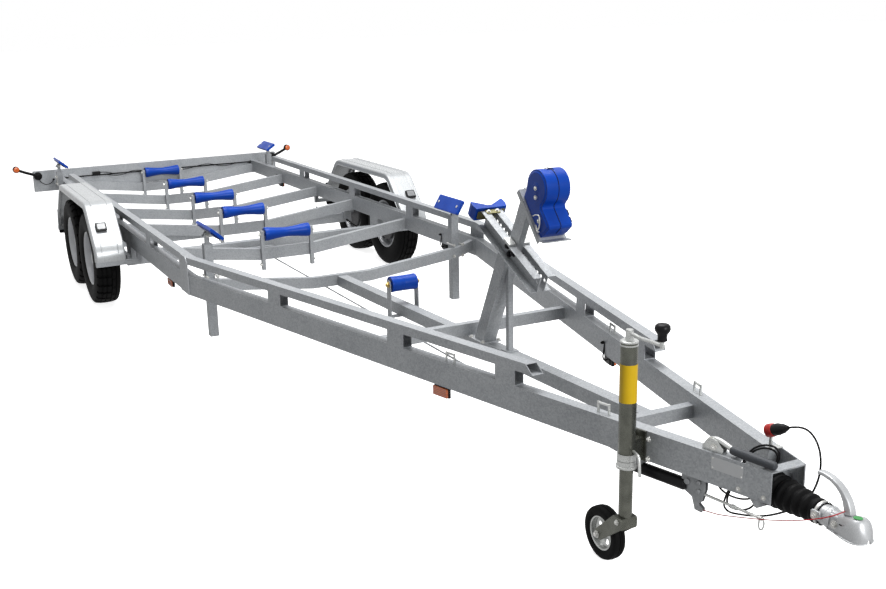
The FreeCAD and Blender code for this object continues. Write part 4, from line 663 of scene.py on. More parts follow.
def road_tyre():
    """Van tyre with four grooves, cut shoulders and thin cuts in the ribs."""
    rings = mirrored(TYRE_RINGS) + [(60, 178.5), (-60, 178.5), (-62, 181)]
    piece = lathe(rings, TYRE_SIDES, solid=False)
    bpy.ops.mesh.select_all(action="SELECT")
    bpy.ops.mesh.remove_doubles(threshold=0.0001)
    bpy.ops.mesh.normals_make_consistent(inside=False)

    def shoulder(middle, normal):
        radius, sector = polar(middle, 360 / TYRE_SIDES)
        return abs(middle.z) > 50 and radius > 298 and sector % 3 == 0

    def ribs(middle, normal):
        radius, sector = polar(middle, 360 / TYRE_SIDES)
        middle_rib = abs(middle.z) < 12 and sector % 3 == 1
        side_rib = 21 < abs(middle.z) < 41 and sector % 3 == 2
        return radius > 317.5 and (middle_rib or side_rib)

    pick(piece, shoulder)
    inset(1.6, -7.5)
    pick(piece, ribs)
    inset(5.5, -5, each=True)
    return put(piece, tidy=False)


def road_rim():
    """Pressed steel wheel: rolled flanges, a dished disc with openings, nuts and a hub cap."""
    barrel = ringed([
        (-66.5, 184.5), (-67.2, 181), (-64, 175), (-52, 171.5), (-30, 166), (20, 164), (42, 169),
        (56, 173), (64, 176), (67.2, 181), (66.5, 184.5),
    ], 60, wall=2.8)
    disc = lathe([
        (6, 165.5), (12, 163), (15, 156), (20, 144), (29, 125), (34, 113), (36, 102), (34, 93),
        (27, 83), (23.5, 76), (23.5, 42),
    ], 60, solid=False)

    def openings(middle, normal):
        radius, sector = polar(middle, 6)
        return 124 < radius < 156 and sector % 6 in (1, 2, 3)

    pick(disc, openings)
    inset(3.5)
    bpy.ops.mesh.delete(type="FACE")
    disc = put(disc, wall=-3.5, bevel=0.8)
    cap = turned([(18, 42.5), (40, 42.5), (41.5, 40.5), (50, 38.5), (52, 34), (52.8, 20)], 32, bevel=0.8)
    nuts = copies(hex_bolt(1.05), [shifted(*spot, 23.6) for spot in arc(0, 0, 58.5, 18, 306, 4)])
    return joined("rim", [barrel, disc, cap, *nuts])


def brake_drum():
    """Cast drum that shows through the wheel's openings."""
    return turned(
        [(-60, 118), (-55, 126), (-30, 126), (-26, 121), (2, 118), (6, 100), (10, 60)], 48, bevel=1.2
    )


def wheels():
    patterns = (
        (road_tyre(), "road_tyre", "tyre", "tyre_"),
        (road_rim(), "road_rim", "rim_steel", "rim_"),
        (brake_drum(), "brake_drum", "cast_iron", ""),
    )
    for number, (key, (x, y)) in enumerate(WHEELS.items()):
        stand = facing(at(x, y, TYRE_RADIUS), (0, math.copysign(1, y), 0), 0.4 * number)
        for pattern, name, finish, node in patterns:
            stands_for = (node + key,) if node else ()
            dress(f"{name}_{key}", twin(pattern, stand), finish, f"wheel_{key}", stands_for)
    for pattern, *_ in patterns:
        bpy.data.objects.remove(pattern)


# rollers and hull pads

ROLLER_PLACES = (-2440, -1570, -695, 85, 1052)
ROLLER_HEIGHT = 496
ROLLER_POST_HALF = 187
SPINE_ROLLER = (2886, 526)
PADS = {
    "rear_left": (-2170, 977.3, 660, 34),
    "rear_right": (-2170, -977.3, 660, -40),
    "front_left": (1964.7, 800, 720, 58),
    "front_right": (1964.7, -800, 720, -42),
}


def waisted_roller(half, waist, end, band):
    """Moulded roller with plain bands at its ends, a mould line and sunk end faces."""
    return ringed(mirrored([
        (half, 10.5), (half - 6, 11.5), (half - 6, end * 0.55), (half - 3, end * 0.60),
        (half - 3, end * 0.86), (half, end * 0.89), (half - 1.2, end * 0.975), (half - 4, end),
        (half - band + 2, end), (half - band, end * 0.985), (half * 0.45, end + (waist - end) * 0.62),
        (half * 0.16, waist + 1.2), (3, waist), (1.4, waist + 1),
    ]), 48)


def rollers():
    pattern = waisted_roller(160, 32.5, 46, 30)
    ends = []
    for number, x in enumerate(ROLLER_PLACES, start=1):
        roller = twin(pattern, facing(at(x, 0, ROLLER_HEIGHT), (0, 1, 0)))
        key = f"keel_roller_{number}"
        dress(f"keel_roller_blue_{number}", roller, "roller_blue", f"{key}_body", (key,))
        ends += [
            ((x, side * ROLLER_POST_HALF, height), (0, side, 0))
            for side in BOTH for height in (ROLLER_HEIGHT, 290)
        ]
    bpy.data.objects.remove(pattern)
    bolts("roller_pin_nuts", ends, size=1.25)
    x, z = SPINE_ROLLER
    short = copies(waisted_roller(75, 40.5, 43, 16), [facing(at(x, 0, z), (0, 1, 0))])
    dress("spine_roller_blue", short, "roller_blue", "spine_roller_body", ("spine_roller",))
    pins = [((x, side * 84, z), (0, side, 0)) for side in BOTH]
    bolts("spine_pin_nuts", pins, finish="brass_bolt", size=1.5)


def hull_pads():
    """Tilting pads with their carriers, and the clamps that hold their posts."""
    clamps, nuts = [], []
    lug = [(-24, 16), *arc(0, 0, 13, 200, 340, 8), (24, 16)]
    for key, (x, y, z, tilt) in PADS.items():
        centre = stand_at(x, y, z)
        place = centre @ Matrix.Rotation(math.radians(tilt), 4, "X")
        body = f"pad_{key}"
        pad = sheet(rectangle(155, 48, 12), 17)
        pick(pad, lambda middle, normal: normal.z > 0.9)
        inset(7)
        inset(2.5, 1.5)
        pad = put(pad, place @ shifted(0, 0, 24), bevel=1.2)
        ribs = [box((290, 3.5, 8), place @ shifted(0, across, 21), 0.6) for across in (-34, -12, 12, 34)]
        dress(f"hull_pad_blue_{key}", [pad, *ribs], "roller_blue", body, (f"hull_pad_{key}",))
        carrier = [cut(rectangle(80, 30, 6), 3, place @ shifted(0, 0, 14.5), 0.4)]
        for side in BOTH:
            stand = place @ shifted(side * 20, 0, 0) @ facing((0, 0, 0), AHEAD) @ shifted(0, 0, -2.5)
            carrier.append(cut([(-height, across) for across, height in lug], 5, stand, 0.4))
        dress(f"hull_pad_carrier_{key}", carrier, "galvanised", body)
        screw = turned([(0, 8.5), (2.2, 8.5), (3.4, 6)], 20, bevel=0.4)
        screws = copies(screw, [place @ shifted(along, 0, 42.8) for along in (-120, 120)])
        dress(f"hull_pad_screws_{key}", screws, "fastener", body)
        ends = [centre @ facing(mm(side * 23.5, 0, 0), (side, 0, 0)) for side in BOTH]
        heads(f"hull_pad_pins_{key}", ends, 0.95, body=body)
        if key.startswith("front"):
            face, back = x - 26.5, 2033.5
            for height in (415, 485):
                clamps.append(through([
                    (along, y + across, height) for along, across in (
                        (back, -31), (face, -31), (face - 1, -31), (face - 1, 31), (face, 31), (back, 31)
                    )
                ], 4.8, 2))
                nuts += [((2031, y + step, height), (1, 0, 0)) for step in (-31, 31)]
        else:
            side = math.copysign(1, y)
            for along in (-31, 31):
                nuts += [((x + along, side * 1004, height), (0, side, 0)) for height in (500, 560)]
            stand = facing(at(x, side * 1002.4, 530), (0, side, 0))
            clamps.append(cut(rectangle(45, 45, 6), 1.5, stand, 0.4))
    dress("post_clamps", clamps, "fastener")
    bolts("post_clamp_nuts", nuts, size=0.95)


# mudguards

def mudguard_line(inset_by, radius):
    """Side view of the sheet from its rear foot to its front foot, with soft folds."""
    middle, flat, fold, foot, top, knee = -44, 510, 785, 366, 730, 445
    points = [
        (fold - inset_by, foot), (fold - inset_by, knee - inset_by * 0.35),
        (flat - inset_by * 0.42, top - inset_by),
    ]
    line = [(middle - x, z) for x, z in points] + [(middle + x, z) for x, z in points[::-1]]
    return rounded(line, radius, 10, closed=False)


def mudguards():
    """Folded sheets with round shoulders, their flaps, bolts and front markers."""
    inner, outer, edge = 1027, 1224, 13
    wide, centre = outer - inner, (outer + inner) / 2
    slope = Vector((0.285, 0, 0.275)).normalized()
    for name, side in SIDES.items():
        stand = stand_at(0, 0, 0) @ ABOVE @ shifted(0, 0, -outer if side > 0 else inner)
        skin = mudguard_line(0, 150) + mudguard_line(3, 147)[::-1]
        cheek = mudguard_line(edge, 137) + mudguard_line(40, 115)[::-1]
        pieces = [cut(skin, wide - 2 * edge, stand @ shifted(0, 0, edge), 0.8)]
        pieces += [cut(cheek, 3, stand @ shifted(0, 0, depth), 1) for depth in (0, wide - 3)]
        for line, depth, radius, sides in (
            (mudguard_line(40, 115), 1.5, 4.2, 2),  # rolled edge of the opening
            (mudguard_line(edge, 137), edge, edge, 4),  # round shoulder
            (mudguard_line(-0.8, 151)[4:-4], 45, 2.2, 2),  # swage
        ):
            for place in (depth, wide - depth):
                pieces.append(bar([mm(x, z, place) for x, z in line], radius, sides, stand, False))
        dress(f"mudguard_sheet_{name}", pieces, "mudguard_zinc", stands_for=(f"mudguard_{name}",))
        flap = rounded([(-92, -62), (92, -62), (92, 130), (-92, 130)], 12)
        spot = at(-829, side * centre, 366)
        dress("flap", cut(flap, 4, facing(spot, -AHEAD), 0.8), "black_rubber")
        bolts(
            f"mudguard_bolts_{name}",
            [((-833, side * (centre + step), 425), (-1, 0, 0)) for step in (-60, 60)]
            + [((sign * 770 - 44, side * y, 365.5), (0, 0, 1)) for sign in BOTH for y in (1060, 1190)],
            size=0.8,
        )
        spot = at(615, side * 1150, 576)
        base = cut(rectangle(36, 33, 8), 12, facing(spot + slope * 0.006, slope), 2)
        dress(f"front_marker_base_{name}", base, "black_plastic")
        glass = cut(rectangle(28, 24, 7), 10, facing(spot + slope * 0.014, slope), 3, 3)
        dress(f"front_marker_lens_{name}", glass, "lens_clear")


# lamps

MARKER_PLACES = (-1708, 1596, 4170)
MARKER_HEIGHT = 382
BEAM_FACE = -2504.5
HARNESS_X = -2498.7
LAMP_HEIGHT = 488.5


def side_markers():
    """Amber lamps along the rails, on their backing plates."""
    for name, side in SIDES.items():
        for number, x in enumerate(MARKER_PLACES, start=1):
            turn = DRAW_IN if x > BEND_FRONT else 0
            stand = stand_at(x, side * rail_outer(x), 0) @ Matrix.Rotation(-side * turn, 4, "Z")
            back = [
                box((94, 14, 46), stand @ shifted(0, -side * 18, MARKER_HEIGHT), 3),
                box((52, 4, 50), stand @ shifted(0, -side * 26.2, MARKER_HEIGHT + 3.5), 0.8),
            ]
            dress(f"marker_back_{name}_{number}", back, "black_plastic", stands_for=("marker_lamps",))
            glass = block(88, 11, 40)
            pick(glass, lambda middle, normal: normal.y * side > 0.9)
            inset(6, -1.2)
            inset(1.5, 1)
            glass = put(glass, stand @ shifted(0, -side * 6.2, MARKER_HEIGHT), 2.4, 3)
            dress(f"marker_lens_{name}_{number}", glass, "lamp_amber")


def outline_lamps():
    """Rubber arms at the rear corners, each with an amber and a red lens."""
    for name, side in SIDES.items():
        root, tip = at(-2458.7, side * 1122, 541), at(-2535, side * 1300, 609)
        foot = [(0.3, 34), (4, 36), (30, 35), (40, 30), (48, 20), (56, 14)]
        bends = [root, root.lerp(tip, 0.25) + UP * 0.004, root.lerp(tip, 0.6) - UP * 0.003, tip]
        arm = [
            turned(foot, 28, facing(at(BEAM_FACE, side * 1122, 541), AHEAD), 1),
            bar(bends, 12.5, 4),
            turned([(-20, 24), (-19, 29), (19, 29), (20, 24)], 28, facing(tip, AHEAD), 1),
        ]
        dress(f"outline_lamp_arm_{name}", arm, "black_rubber", stands_for=("outline_lamps",))
        for way, finish in ((AHEAD, "lamp_amber"), (-AHEAD, "lamp_red")):
            glass = turned([(19, 25.5), (26, 24.5), (29, 20), (29.8, 10)], 28, facing(tip, way), 0.6)
            dress(f"outline_lens_{name}_{finish}", glass, finish)


def tail_lamps():
    """Lamps and a blank number board on the rear beam's back."""
    for name, side in SIDES.items():
        case = box((24, 240, 130), stand_at(-2557, side * 960, LAMP_HEIGHT), 6, 3)
        dress(f"tail_lamp_case_{name}", case, "black_plastic", stands_for=("tail_lamps",))
        for finish, across, wide in (("lamp_amber", 78, 72), ("lamp_red", 0, 76), ("lens_clear", -78, 72)):
            glass = block(24, wide, 116)
            pick(glass, lambda middle, normal: normal.x < -0.9)
            bpy.ops.mesh.subdivide(number_cuts=5)
            inset(1.2, -1, each=True)
            glass = put(glass, stand_at(-2581.5, side * (960 + across), LAMP_HEIGHT), 0.6)
            dress(f"tail_lens_{name}_{finish}", glass, finish)
    board = cut(rectangle(260, 56, 8), 2.2, facing(at(-2545.5, 0, LAMP_HEIGHT), -AHEAD), 0.6)
    dress("number_board_blank", board, "blank_plate")
    bolts("number_board_bolts", [((-2547.5, y, LAMP_HEIGHT), (-1, 0, 0)) for y in (-220, 220)], size=0.6)


# winch stand

WINCH_STAND = stand_at(3777, 0, 440.2) @ Matrix.Rotation(math.radians(26.3), 4, "Y")
CHANNEL_TOP = 592
PLATE_STAND = (
    Matrix.Translation(WINCH_STAND @ mm(142, 0, 820)) @ Matrix.Rotation(math.radians(49.8), 4, "Y")
)
DRUM_AXIS = (-59, 114.3)
GEAR_AXIS = (57, 49.3)


def perforated(count, *sizes):
    """Strip in XZ with a row of round holes, one cell repeated."""
    pitch, height, hole, hole_up = (size / 1000 for size in sizes)
    piece = start("circle", vertices=16, radius=hole, fill_type="NOTHING")
    bpy.ops.mesh.extrude_region_move(TRANSFORM_OT_translate={"value": (0, 0, 0)})
    mesh = bmesh.from_edit_mesh(piece.data)
    for corner in mesh.verts:
        if corner.select:
            x, y = corner.co.x / hole, corner.co.y / hole
            reach = max(abs(x), abs(y))
            corner.co.x = x / reach * pitch / 2
            corner.co.y = y / reach * (height - hole_up if y > 0 else hole_up)
    bmesh.update_edit_mesh(piece.data)
    bpy.ops.mesh.select_all(action="SELECT")
    bpy.ops.mesh.normals_make_consistent(inside=False)
    bpy.ops.object.mode_set(mode="OBJECT")
    use(piece, "ARRAY", count=count, use_relative_offset=False, use_constant_offset=True,
        constant_offset_displace=(pitch, 0, 0), use_merge_vertices=True, merge_threshold=0.0001)
    bpy.ops.object.mode_set(mode="EDIT")
    return piece


def winch_channels():
    """Channels with their row of round holes and turned flanges."""
    pieces = []
    length, count, height, hole, hole_up = 495, 16, 80, 8.5, 48
    pitch = length / count
    for side in BOTH:
        stand = WINCH_STAND @ shifted(-215 + pitch / 2, side * 15, 512 + hole_up)
        pieces.append(put(perforated(count, pitch, height, hole, hole_up), stand @ ABOVE, wall=-4 * side))
        for middle in (514, 590):
            pieces.append(box((length, 38, 4), WINCH_STAND @ shifted(32.5, side * 34, middle), 1.2))
    dress("winch_channel_pair", pieces, "galvanised", stands_for=("winch_channels",))


def housing_outline():
    """Side view of the case: a round drum over a square-shouldered gear box."""
    return [
        (-87, 5.5), (-100, 40), *arc(*DRUM_AXIS, 77, 205, -4, 26), (21.5, 98.5), (27, 94), (34, 92.5),
        (96, 93), *arc(103, 78, 15, 80, 0, 5), (118, 40), (112, 5.5),
    ]


def winch():
    """Blue winch case with its strap, seam, base plate and bolts."""
    half = 56
    case = sheet(housing_outline(), 2 * half)
    for way in BOTH:
        pick(case, lambda middle, normal: normal.z * way > 0.9)
        inset(8)
        inset(3, -4)
    case = put(case, PLATE_STAND @ ABOVE @ shifted(0, 0, -half), 7, 4)
    slot = box((56, 40, 64), PLATE_STAND @ shifted(-130, -6, 166))
    bpy.context.view_layer.objects.active = case
    use(case, "BOOLEAN", object=slot, operation="DIFFERENCE", solver="EXACT")
    bpy.data.objects.remove(slot)
    pieces = [case]
    for side in BOTH:
        for (x, z), radius in ((DRUM_AXIS, 56), (GEAR_AXIS, 28)):
            disc = [
                (-10, radius), (3.5, radius), (5, radius - 3), (3.5, radius - 10), (4.5, radius - 16),
                (6, radius * 0.45), (9, radius * 0.40), (9.5, radius * 0.1),
            ]
            stand = PLATE_STAND @ facing(mm(x, side * (half - 4), z), (0, side, 0))
            pieces.append(turned(disc, 40, stand, 1.2))
    dress("winch_case", pieces, "roller_blue", stands_for=("winch_housing",))
    heads("winch_bolts", [
        PLATE_STAND @ facing(mm(x, side * (half + 1.5), z), (0, side, 0))
        for side in BOTH for x, z in (DRUM_AXIS, GEAR_AXIS, (-30, 90))
    ], 1.1)
    drum = PLATE_STAND @ facing(mm(DRUM_AXIS[0], 0, DRUM_AXIS[1]), (0, 1, 0))
    dress("strap_roll", turned([(-17, 66), (17, 66)], 40, drum, 2), "strap_sand")
    seam = [mm(x * 1.004, z * 1.004 + 0.2, 0) for x, z in housing_outline()[1:-1]]
    dress("winch_seam", bar(seam, 1.6, 2, PLATE_STAND @ ABOVE, False), "black_plastic")
    tail = [PLATE_STAND @ mm(x, 0, z) for x, z in ((-133, 92), (-137, 60), (-134, 30), (-118, 9))]
    dress("strap_tail", bar(tail, 4, 2), "webbing")
    base = [cut(rectangle(125, 65, 10), 5, PLATE_STAND, 0.8)]
    base += [box((250, 4, 22), PLATE_STAND @ shifted(0, side * 63, -9), 0.8) for side in BOTH]
    dress("winch_base_plate", base, "galvanised")


def snubber():
    """Soft V block on its folded bracket, and the winch stand's small fittings."""
    reach, half, deep, thick = -215.3, 84, 62, 64
    plan = rounded([
        (reach, -half + 6), (reach, half - 6), (reach - deep * 0.55, half), (reach - deep, half - 4),
        (reach - deep * 0.36, 10), (reach - deep * 0.36, -10), (reach - deep, -half + 4),
        (reach - deep * 0.55, -half),
    ], 5, 3)
    on_top = WINCH_STAND @ shifted(0, 0, CHANNEL_TOP + 0.3)
    soft = cut(plan, thick, on_top @ shifted(0, 0, -thick * 0.8), 6, 3)
    dress("snubber_block", soft, "roller_blue", stands_for=("bow_snubber",))
    tongue = rounded([(reach, -34), (-186, -34), (-186, 34), (reach, 34)], 5)
    bracket = [cut(tongue, 4, on_top, 0.8)]
    face = Matrix(((0, 0, 1, 0), (1, 0, 0, 0), (0, 1, 0, 0), (0, 0, 0, 1)))
    for side in BOTH:
        wing = sheet(rounded([(4, 0), (70, 12), (70, 52), (4, 40)], 6), 4)
        if side < 0:
            bpy.ops.transform.resize(value=(-1, 1, 1), center_override=(0, 0, 0))
        bracket.append(put(wing, WINCH_STAND @ shifted(-215, 0, CHANNEL_TOP - 50) @ face, 0.6))
    dress("snubber_bracket", bracket, "olive_zinc")
    heads("snubber_bolts", [on_top @ shifted(-200, across, 4) for across in (22, -22)], 0.8)
    heads("channel_bolts", [
        WINCH_STAND @ facing(mm(along, side * 19.2, up), (0, side, 0))
        for side in BOTH for along, up in ((0, 552), (56, 552), (28, 530))
    ], 1.35, "black_plastic")
    grips = [box((52, 34, 10), WINCH_STAND @ shifted(28, side * 36, 597.5), 1.5) for side in BOTH]
    dress("channel_clamps", grips, "zinc_bright")
    latch = ((20, 30), (32, 66), (55, 70), (82, 40), (86, 20), (60, 24))
    pawl = ((66, 24), (80, 10), (94, 26))
    dress("winch_latch", [
        bar([PLATE_STAND @ mm(x, -66.5, z) for x, z in line], radius, 2)
        for line, radius in ((latch, 2.6), (pawl, 3.6))
    ], "fastener")
    knobs = [box((26, 12, 30), PLATE_STAND @ shifted(x, 60, z), 3) for x, z in ((50, 72), (84, 70))]
    dress("winch_side_knobs", knobs, "black_plastic")
    bases = [
        box((128, 100, 6), stand_at(3777, 0, 443.5), 1), box((60, 60, 5), stand_at(4002, 0, 450), 1),
    ]
    dress("post_bases", bases, "galvanised")
    bolts("post_base_bolts", [
        ((3777 + along * 54, across * 42, 446.5), (0, 0, 1)) for along in BOTH for across in BOTH
    ])


# jockey wheel

def jockey_trim(x, y, axis):
    """Band, collars, crank and clamp handle on the outer tube."""
    band = ringed([(640, 30.4), (640, 30.7), (776, 30.7), (776, 30.4)], 56, axis)
    dress("jockey_yellow_band", band, "band_yellow")
    cap = [(850.5, 30), (851, 31.5), (856, 31.5), (858.5, 28), (859, 15), (872, 13.5), (889, 13.5)]
    dress("jockey_tube_trim", [
        turned(cap, 48, axis, 0.6),
        turned([(400, 31), (399, 37), (408, 37.5), (410, 32)], 48, axis, 0.8),
        ringed([(840, 30.2), (840.2, 31.2), (845, 31.2), (845.2, 30.2)], 48, axis),
    ], "zinc_bright")
    crank = 883
    dress("jockey_crank_bar", [
        through([(x - 16, y, crank), (x + 30, y, crank), (x + 60, y, crank - 4), (x + 120, y, crank),
                 (x + 180, y, crank)], 6.2),
        turned([(-13, 12.5), (13, 12.5)], 24, facing(at(x, y, crank), UP), 1.5),
        turned([(0, 7.5), (45, 6.8)], 20, facing(at(x + 172, y, crank - 10), UP), 0.6),
    ], "zinc_bright", stands_for=("jockey_crank",))
    knob = [
        (20, 10), (24, 16.5), (36, 15), (46, 17), (56, 24), (63, 26.2), (72, 25), (78, 20), (81.5, 10),
    ]
    knob = turned(knob, 36, facing(at(x + 172, y, crank - 6), UP), 0.8)
    dress("jockey_crank_knob", knob, "black_plastic")
    collar = [(-12, 30.6), (-12, 33.5), (12, 33.5), (12, 30.6)]
    collars = [ringed(collar, 48, stand_at(x, y, height)) for height in (414, 440)]
    dress("jockey_collars", collars, "zinc_bright")
    handle = through([
        (x + 28, y + 6, 466), (x + 68, y - 4, 466), (x + 80, y - 7, 456), (x + 86, y - 8, 396),
    ], 5.5)
    dress("clamp_handle", handle, "zinc_bright")
    bolts("jockey_clamp_bolts", [
        ((x + step, y + 52 + step * 0.2357, z), (-0.2357, -0.9718, 0))
        for step in (-38, 42) for z in (430, 502)
    ], size=0.95)


def jockey():
    """Jockey wheel, its fork and what is on its tube."""
    x, y = 5224, -261.96
    axis = stand_at(x, y, 0)
    jockey_trim(x, y, axis)
    hub = facing(at(x - 118, y, 100), (0, 1, 0))
    rings = [
        (16, 60.5), (21, 66), (24.5, 78), (24, 88), (20.5, 96.5), (14, 99), (6, 99.7), (5.2, 97.5),
        (3, 97.5), (2.2, 100),
    ]
    tyre = ringed(mirrored(rings) + [(-16, 60.5)], 56, hub)
    dress("jockey_tyre_round", tyre, "tyre", "jockey_wheel", ("jockey_tyre",))
    shell = [(-17.5, 64), (-16.5, 60), (-4, 57), (4, 57), (16.5, 60), (17.5, 64)]
    shell = ringed(shell, 48, hub, wall=2.2)
    disc = lathe([(3, 57.5), (4, 52), (10, 46), (12, 36), (9, 26), (6, 20)], 48, solid=False)

    def openings(middle, normal):
        radius, sector = polar(middle, 7.5)
        return 28 < radius < 50 and sector % 8 in (1, 2, 3, 4)

    pick(disc, openings)
    inset(2)
    bpy.ops.mesh.delete(type="FACE")
    disc = put(disc, hub, wall=-2.5)
    core = turned([(-24.5, 14), (-23.5, 16.5), (23.5, 16.5), (24.5, 14)], 32, hub, 0.8)
    dress("jockey_rim_pressed", [shell, disc, core], "zinc_bright", "jockey_wheel", ("jockey_rim",))
    cheek = rounded([(-24, 214.5), (24, 214.5), (24, 176), (-98, 84), (-132, 84), (-132, 114)], 10)
    carrier = [cut(cheek, 5, axis @ shifted(0, side * 32.5 + 2.5, 0) @ ABOVE, 1) for side in BOTH]
    carrier.append(box((46, 66, 5), axis @ shifted(0, 0, 212), 1))
    carrier.append(box((5, 64, 40), axis @ shifted(20.5, 0, 192), 1))
    carrier.append(turned([(-38, 6), (38, 6)], 24, hub))
    dress("jockey_fork_pressed", carrier, "jockey_zinc", "jockey_swivel", ("jockey_fork",))
    for name, along, height, size in (("axle_nuts", -118, 100, 1.2), ("fork_bolts", 0, 196, 0.9)):
        ends = [((x + along, y + side * 35.2, height), (0, side, 0)) for side in BOTH]
        bolts(f"jockey_{name}", ends, "jockey_swivel", size=size)


# coupling and nose

COUPLING_HEIGHT = 430
HEAD_REAR = 5905
HEAD_LENGTH = 136.5
BALL_X = 6001.1
BALL_TO_TIP = 40.5
HEAD_HALF, NECK_HALF = 41, 26.5
HEAD_HIGH, NECK_HIGH = 72, 58


def along_coupling(x, way=AHEAD):
    return facing(at(x, 0, COUPLING_HEIGHT), way)


def head_shares(x):
    """How far a place is from the ball to the tip, and from the head's rear to the ball."""
    return (
        min(1.0, (x - BALL_X) / BALL_TO_TIP),
        max(0.0, min(1.0, (x - HEAD_REAR) / (BALL_X - HEAD_REAR))),
    )


def head_width(x):
    """Half width of the pressed head along the trailer."""
    tip, rear = head_shares(x)
    if x > BALL_X:
        return max(5, HEAD_HALF * math.sqrt(max(0.0, 1 - tip * tip)))
    return NECK_HALF + (HEAD_HALF - NECK_HALF) * rear * rear * (3 - 2 * rear)


def head_top(x):
    """Height of the pressed head above its foot along the trailer."""
    tip, rear = head_shares(x)
    if x > BALL_X:
        return HEAD_HIGH * (1 - 0.80 * tip ** 3)
    return NECK_HIGH + (HEAD_HIGH - NECK_HIGH) * rear * rear


def ribbon(line):
    """Outline about a line of places with half thicknesses."""
    upper, lower = [], []
    for number, (x, z, half) in enumerate(line):
        before = line[max(0, number - 1)]
        after = line[min(len(line) - 1, number + 1)]
        run = Vector((after[0] - before[0], after[1] - before[1])).normalized()
        upper.append((x - run.y * half, z + run.x * half))
        lower.append((x + run.y * half, z - run.x * half))
    return upper + lower[::-1]


def coupling_shell(foot):
    """Pressed head that is widest and highest over the ball."""
    bulge = 0.72
    shell = start("grid", x_subdivisions=26, y_subdivisions=20, size=2)
    mesh = bmesh.from_edit_mesh(shell.data)
    for corner in mesh.verts:
        x = HEAD_REAR + (corner.co.x + 1) / 2 * HEAD_LENGTH
        angle = corner.co.y * math.pi / 2
        y = head_width(x) * math.copysign(abs(math.sin(angle)) ** bulge, math.sin(angle))
        z = foot + head_top(x) * max(0.0, math.cos(angle)) ** bulge
        corner.co = at(x, y, z)
    bmesh.update_edit_mesh(shell.data)
    return put(shell, wall=-4, bevel=0.6)


def coupling():
    """Cast coupling with its cup, clamp, handle, slot, patch and bolts; the slot is a black box of painted
    shade.
    """
    foot = 404
    pieces = [coupling_shell(foot)]
    lip = [HEAD_REAR + number / 14 * HEAD_LENGTH for number in range(15)]
    for side in BOTH:
        row = [(x, side * (head_width(x) + 1), foot + 1.5) for x in lip]
        pieces.append(through(row, 2.8, 2, False))
    cup = [(0, 29), (0, 25.4), (26, 25.4), (36, 22.8), (44, 16.5), (48, 6)]
    pieces.append(ringed(cup, 40, stand_at(BALL_X, 0, 403.5), wall=2.2))
    clamp = [
        (-36, 26.2), (-34, 33), (-20, 34.5), (-18, 32.5), (14, 32.5), (16, 34.5), (28, 34), (34, 30),
    ]
    pieces.append(turned(clamp, 44, along_coupling(5878), 1))
    neck = block(60, 46, 50)
    pick(neck, lambda middle, normal: normal.x > 0.9)
    bpy.ops.transform.resize(value=(1, 1.15, 1.06))
    pieces.append(put(neck, stand_at(5915, 0, COUPLING_HEIGHT), 8, 4))
    pieces.append(turned([(0, 24.9), (250, 24.9)], 40, along_coupling(5629.7)))
    ear = rounded([(-18, -12), (18, -12), (18, 16), (-18, 16)], 6)
    for side in BOTH:
        pieces.append(cut(ear, 8, facing(at(5868, side * 32.5, 434), (0, side, 0)), 1))
    dress("coupling_cast", pieces, "cast_silver", stands_for=("coupling_head",))
    # the slot is a thin black box on the head: painted shade where the slot's dark inside would be
    dress("coupling_slot_painted_shade", box((10, 1.6, 4.2), stand_at(5966, -38.5, 444), 0.4), "black_plastic")
    patch = lathe([(0, 12.5), (0.9, 12.2)], 28)
    bpy.ops.mesh.select_all(action="SELECT")
    bpy.ops.transform.resize(value=(1.15, 0.8, 1), center_override=(0, 0, 0))
    patch = put(patch, facing(at(6003.5, -10, 475.8), (0.06, -0.10, 1)))
    dress("coupling_green_patch", patch, "patch_green")
    line = [
        (5964, 466, 15), (5961, 486, 13.5), (5952, 508, 11), (5936, 530, 8.5), (5915, 545.5, 7.5),
        (5890, 556, 7), (5862, 560, 6.5), (5838, 559, 6),
    ]
    dress("coupling_handle", cut(ribbon(line), 26, stand_at(0, 13, 0) @ ABOVE, 4, 3), "cast_silver")
    bolts("coupling_bolts", [
        ((x, side * y, z), (0, side, 0)) for x, y, z in ((5868, 40.5, 434), (5935, 29, 430))
        for side in (-1, 1)
    ], size=1.15)


def bellows():
    """Ribbed boot that narrows towards the coupling."""
    length, first, last, folds = 224.5, 60.5, 38.5, 7
    fold = ((0.06, 0.98), (0.30, 1), (0.44, 0.965), (0.58, 0.83), (0.72, 0.79), (0.86, 0.83), (0.96, 0.95))
    stations = [(0, 27), (0, first * 0.98)]
    for number in range(folds):
        for share, depth in fold:
            place = (number + share) / folds
            stations.append((place * length, (first + (last - first) * place) * depth))
    stations += [(length - 0.5, last * 0.95), (length, last * 0.90), (length, 26.8)]
    boot = ringed(stations, 48, along_coupling(5645.3))
    dress("bellows_boot", boot, "black_rubber", stands_for=("bellows",), smooth=60)
    clip = [(-4, last + 0.3), (-4, last + 1.5), (4, last + 1.3), (4, last + 0.2)]
    dress("boot_clip", ringed(clip, 48, along_coupling(5862)), "fastener")


def nose():
    """Type plate left blank, and the housing's bolts."""
    x = 5555
    face = at(x, -rail_outer(x), 488)
    plate = put(sheet(rectangle(61, 22, 3), 0.7), Matrix.Translation(off(face, RAIL_OUT, 0.2)) @ RAIL_TURN)
    dress("type_plate_blank", plate, "blank_plate")
    face = off(face, RAIL_OUT, 0.8)
    dress("type_plate_rivets", [
        turned([(0, 2.8), (1, 2.4), (1.4, 1)], 14, facing(off(face, RAIL_WAY, along, up), RAIL_OUT))
        for along in (-55, 55) for up in (-16, 16)
    ], "fastener")
    bolts("housing_bolts", [
        ((x, side * (rail_outer(x) + 0.4), 428), (math.sin(DRAW_IN), side * math.cos(DRAW_IN), 0))
        for side in BOTH for x in (5600, 5690)
    ], size=0.75)


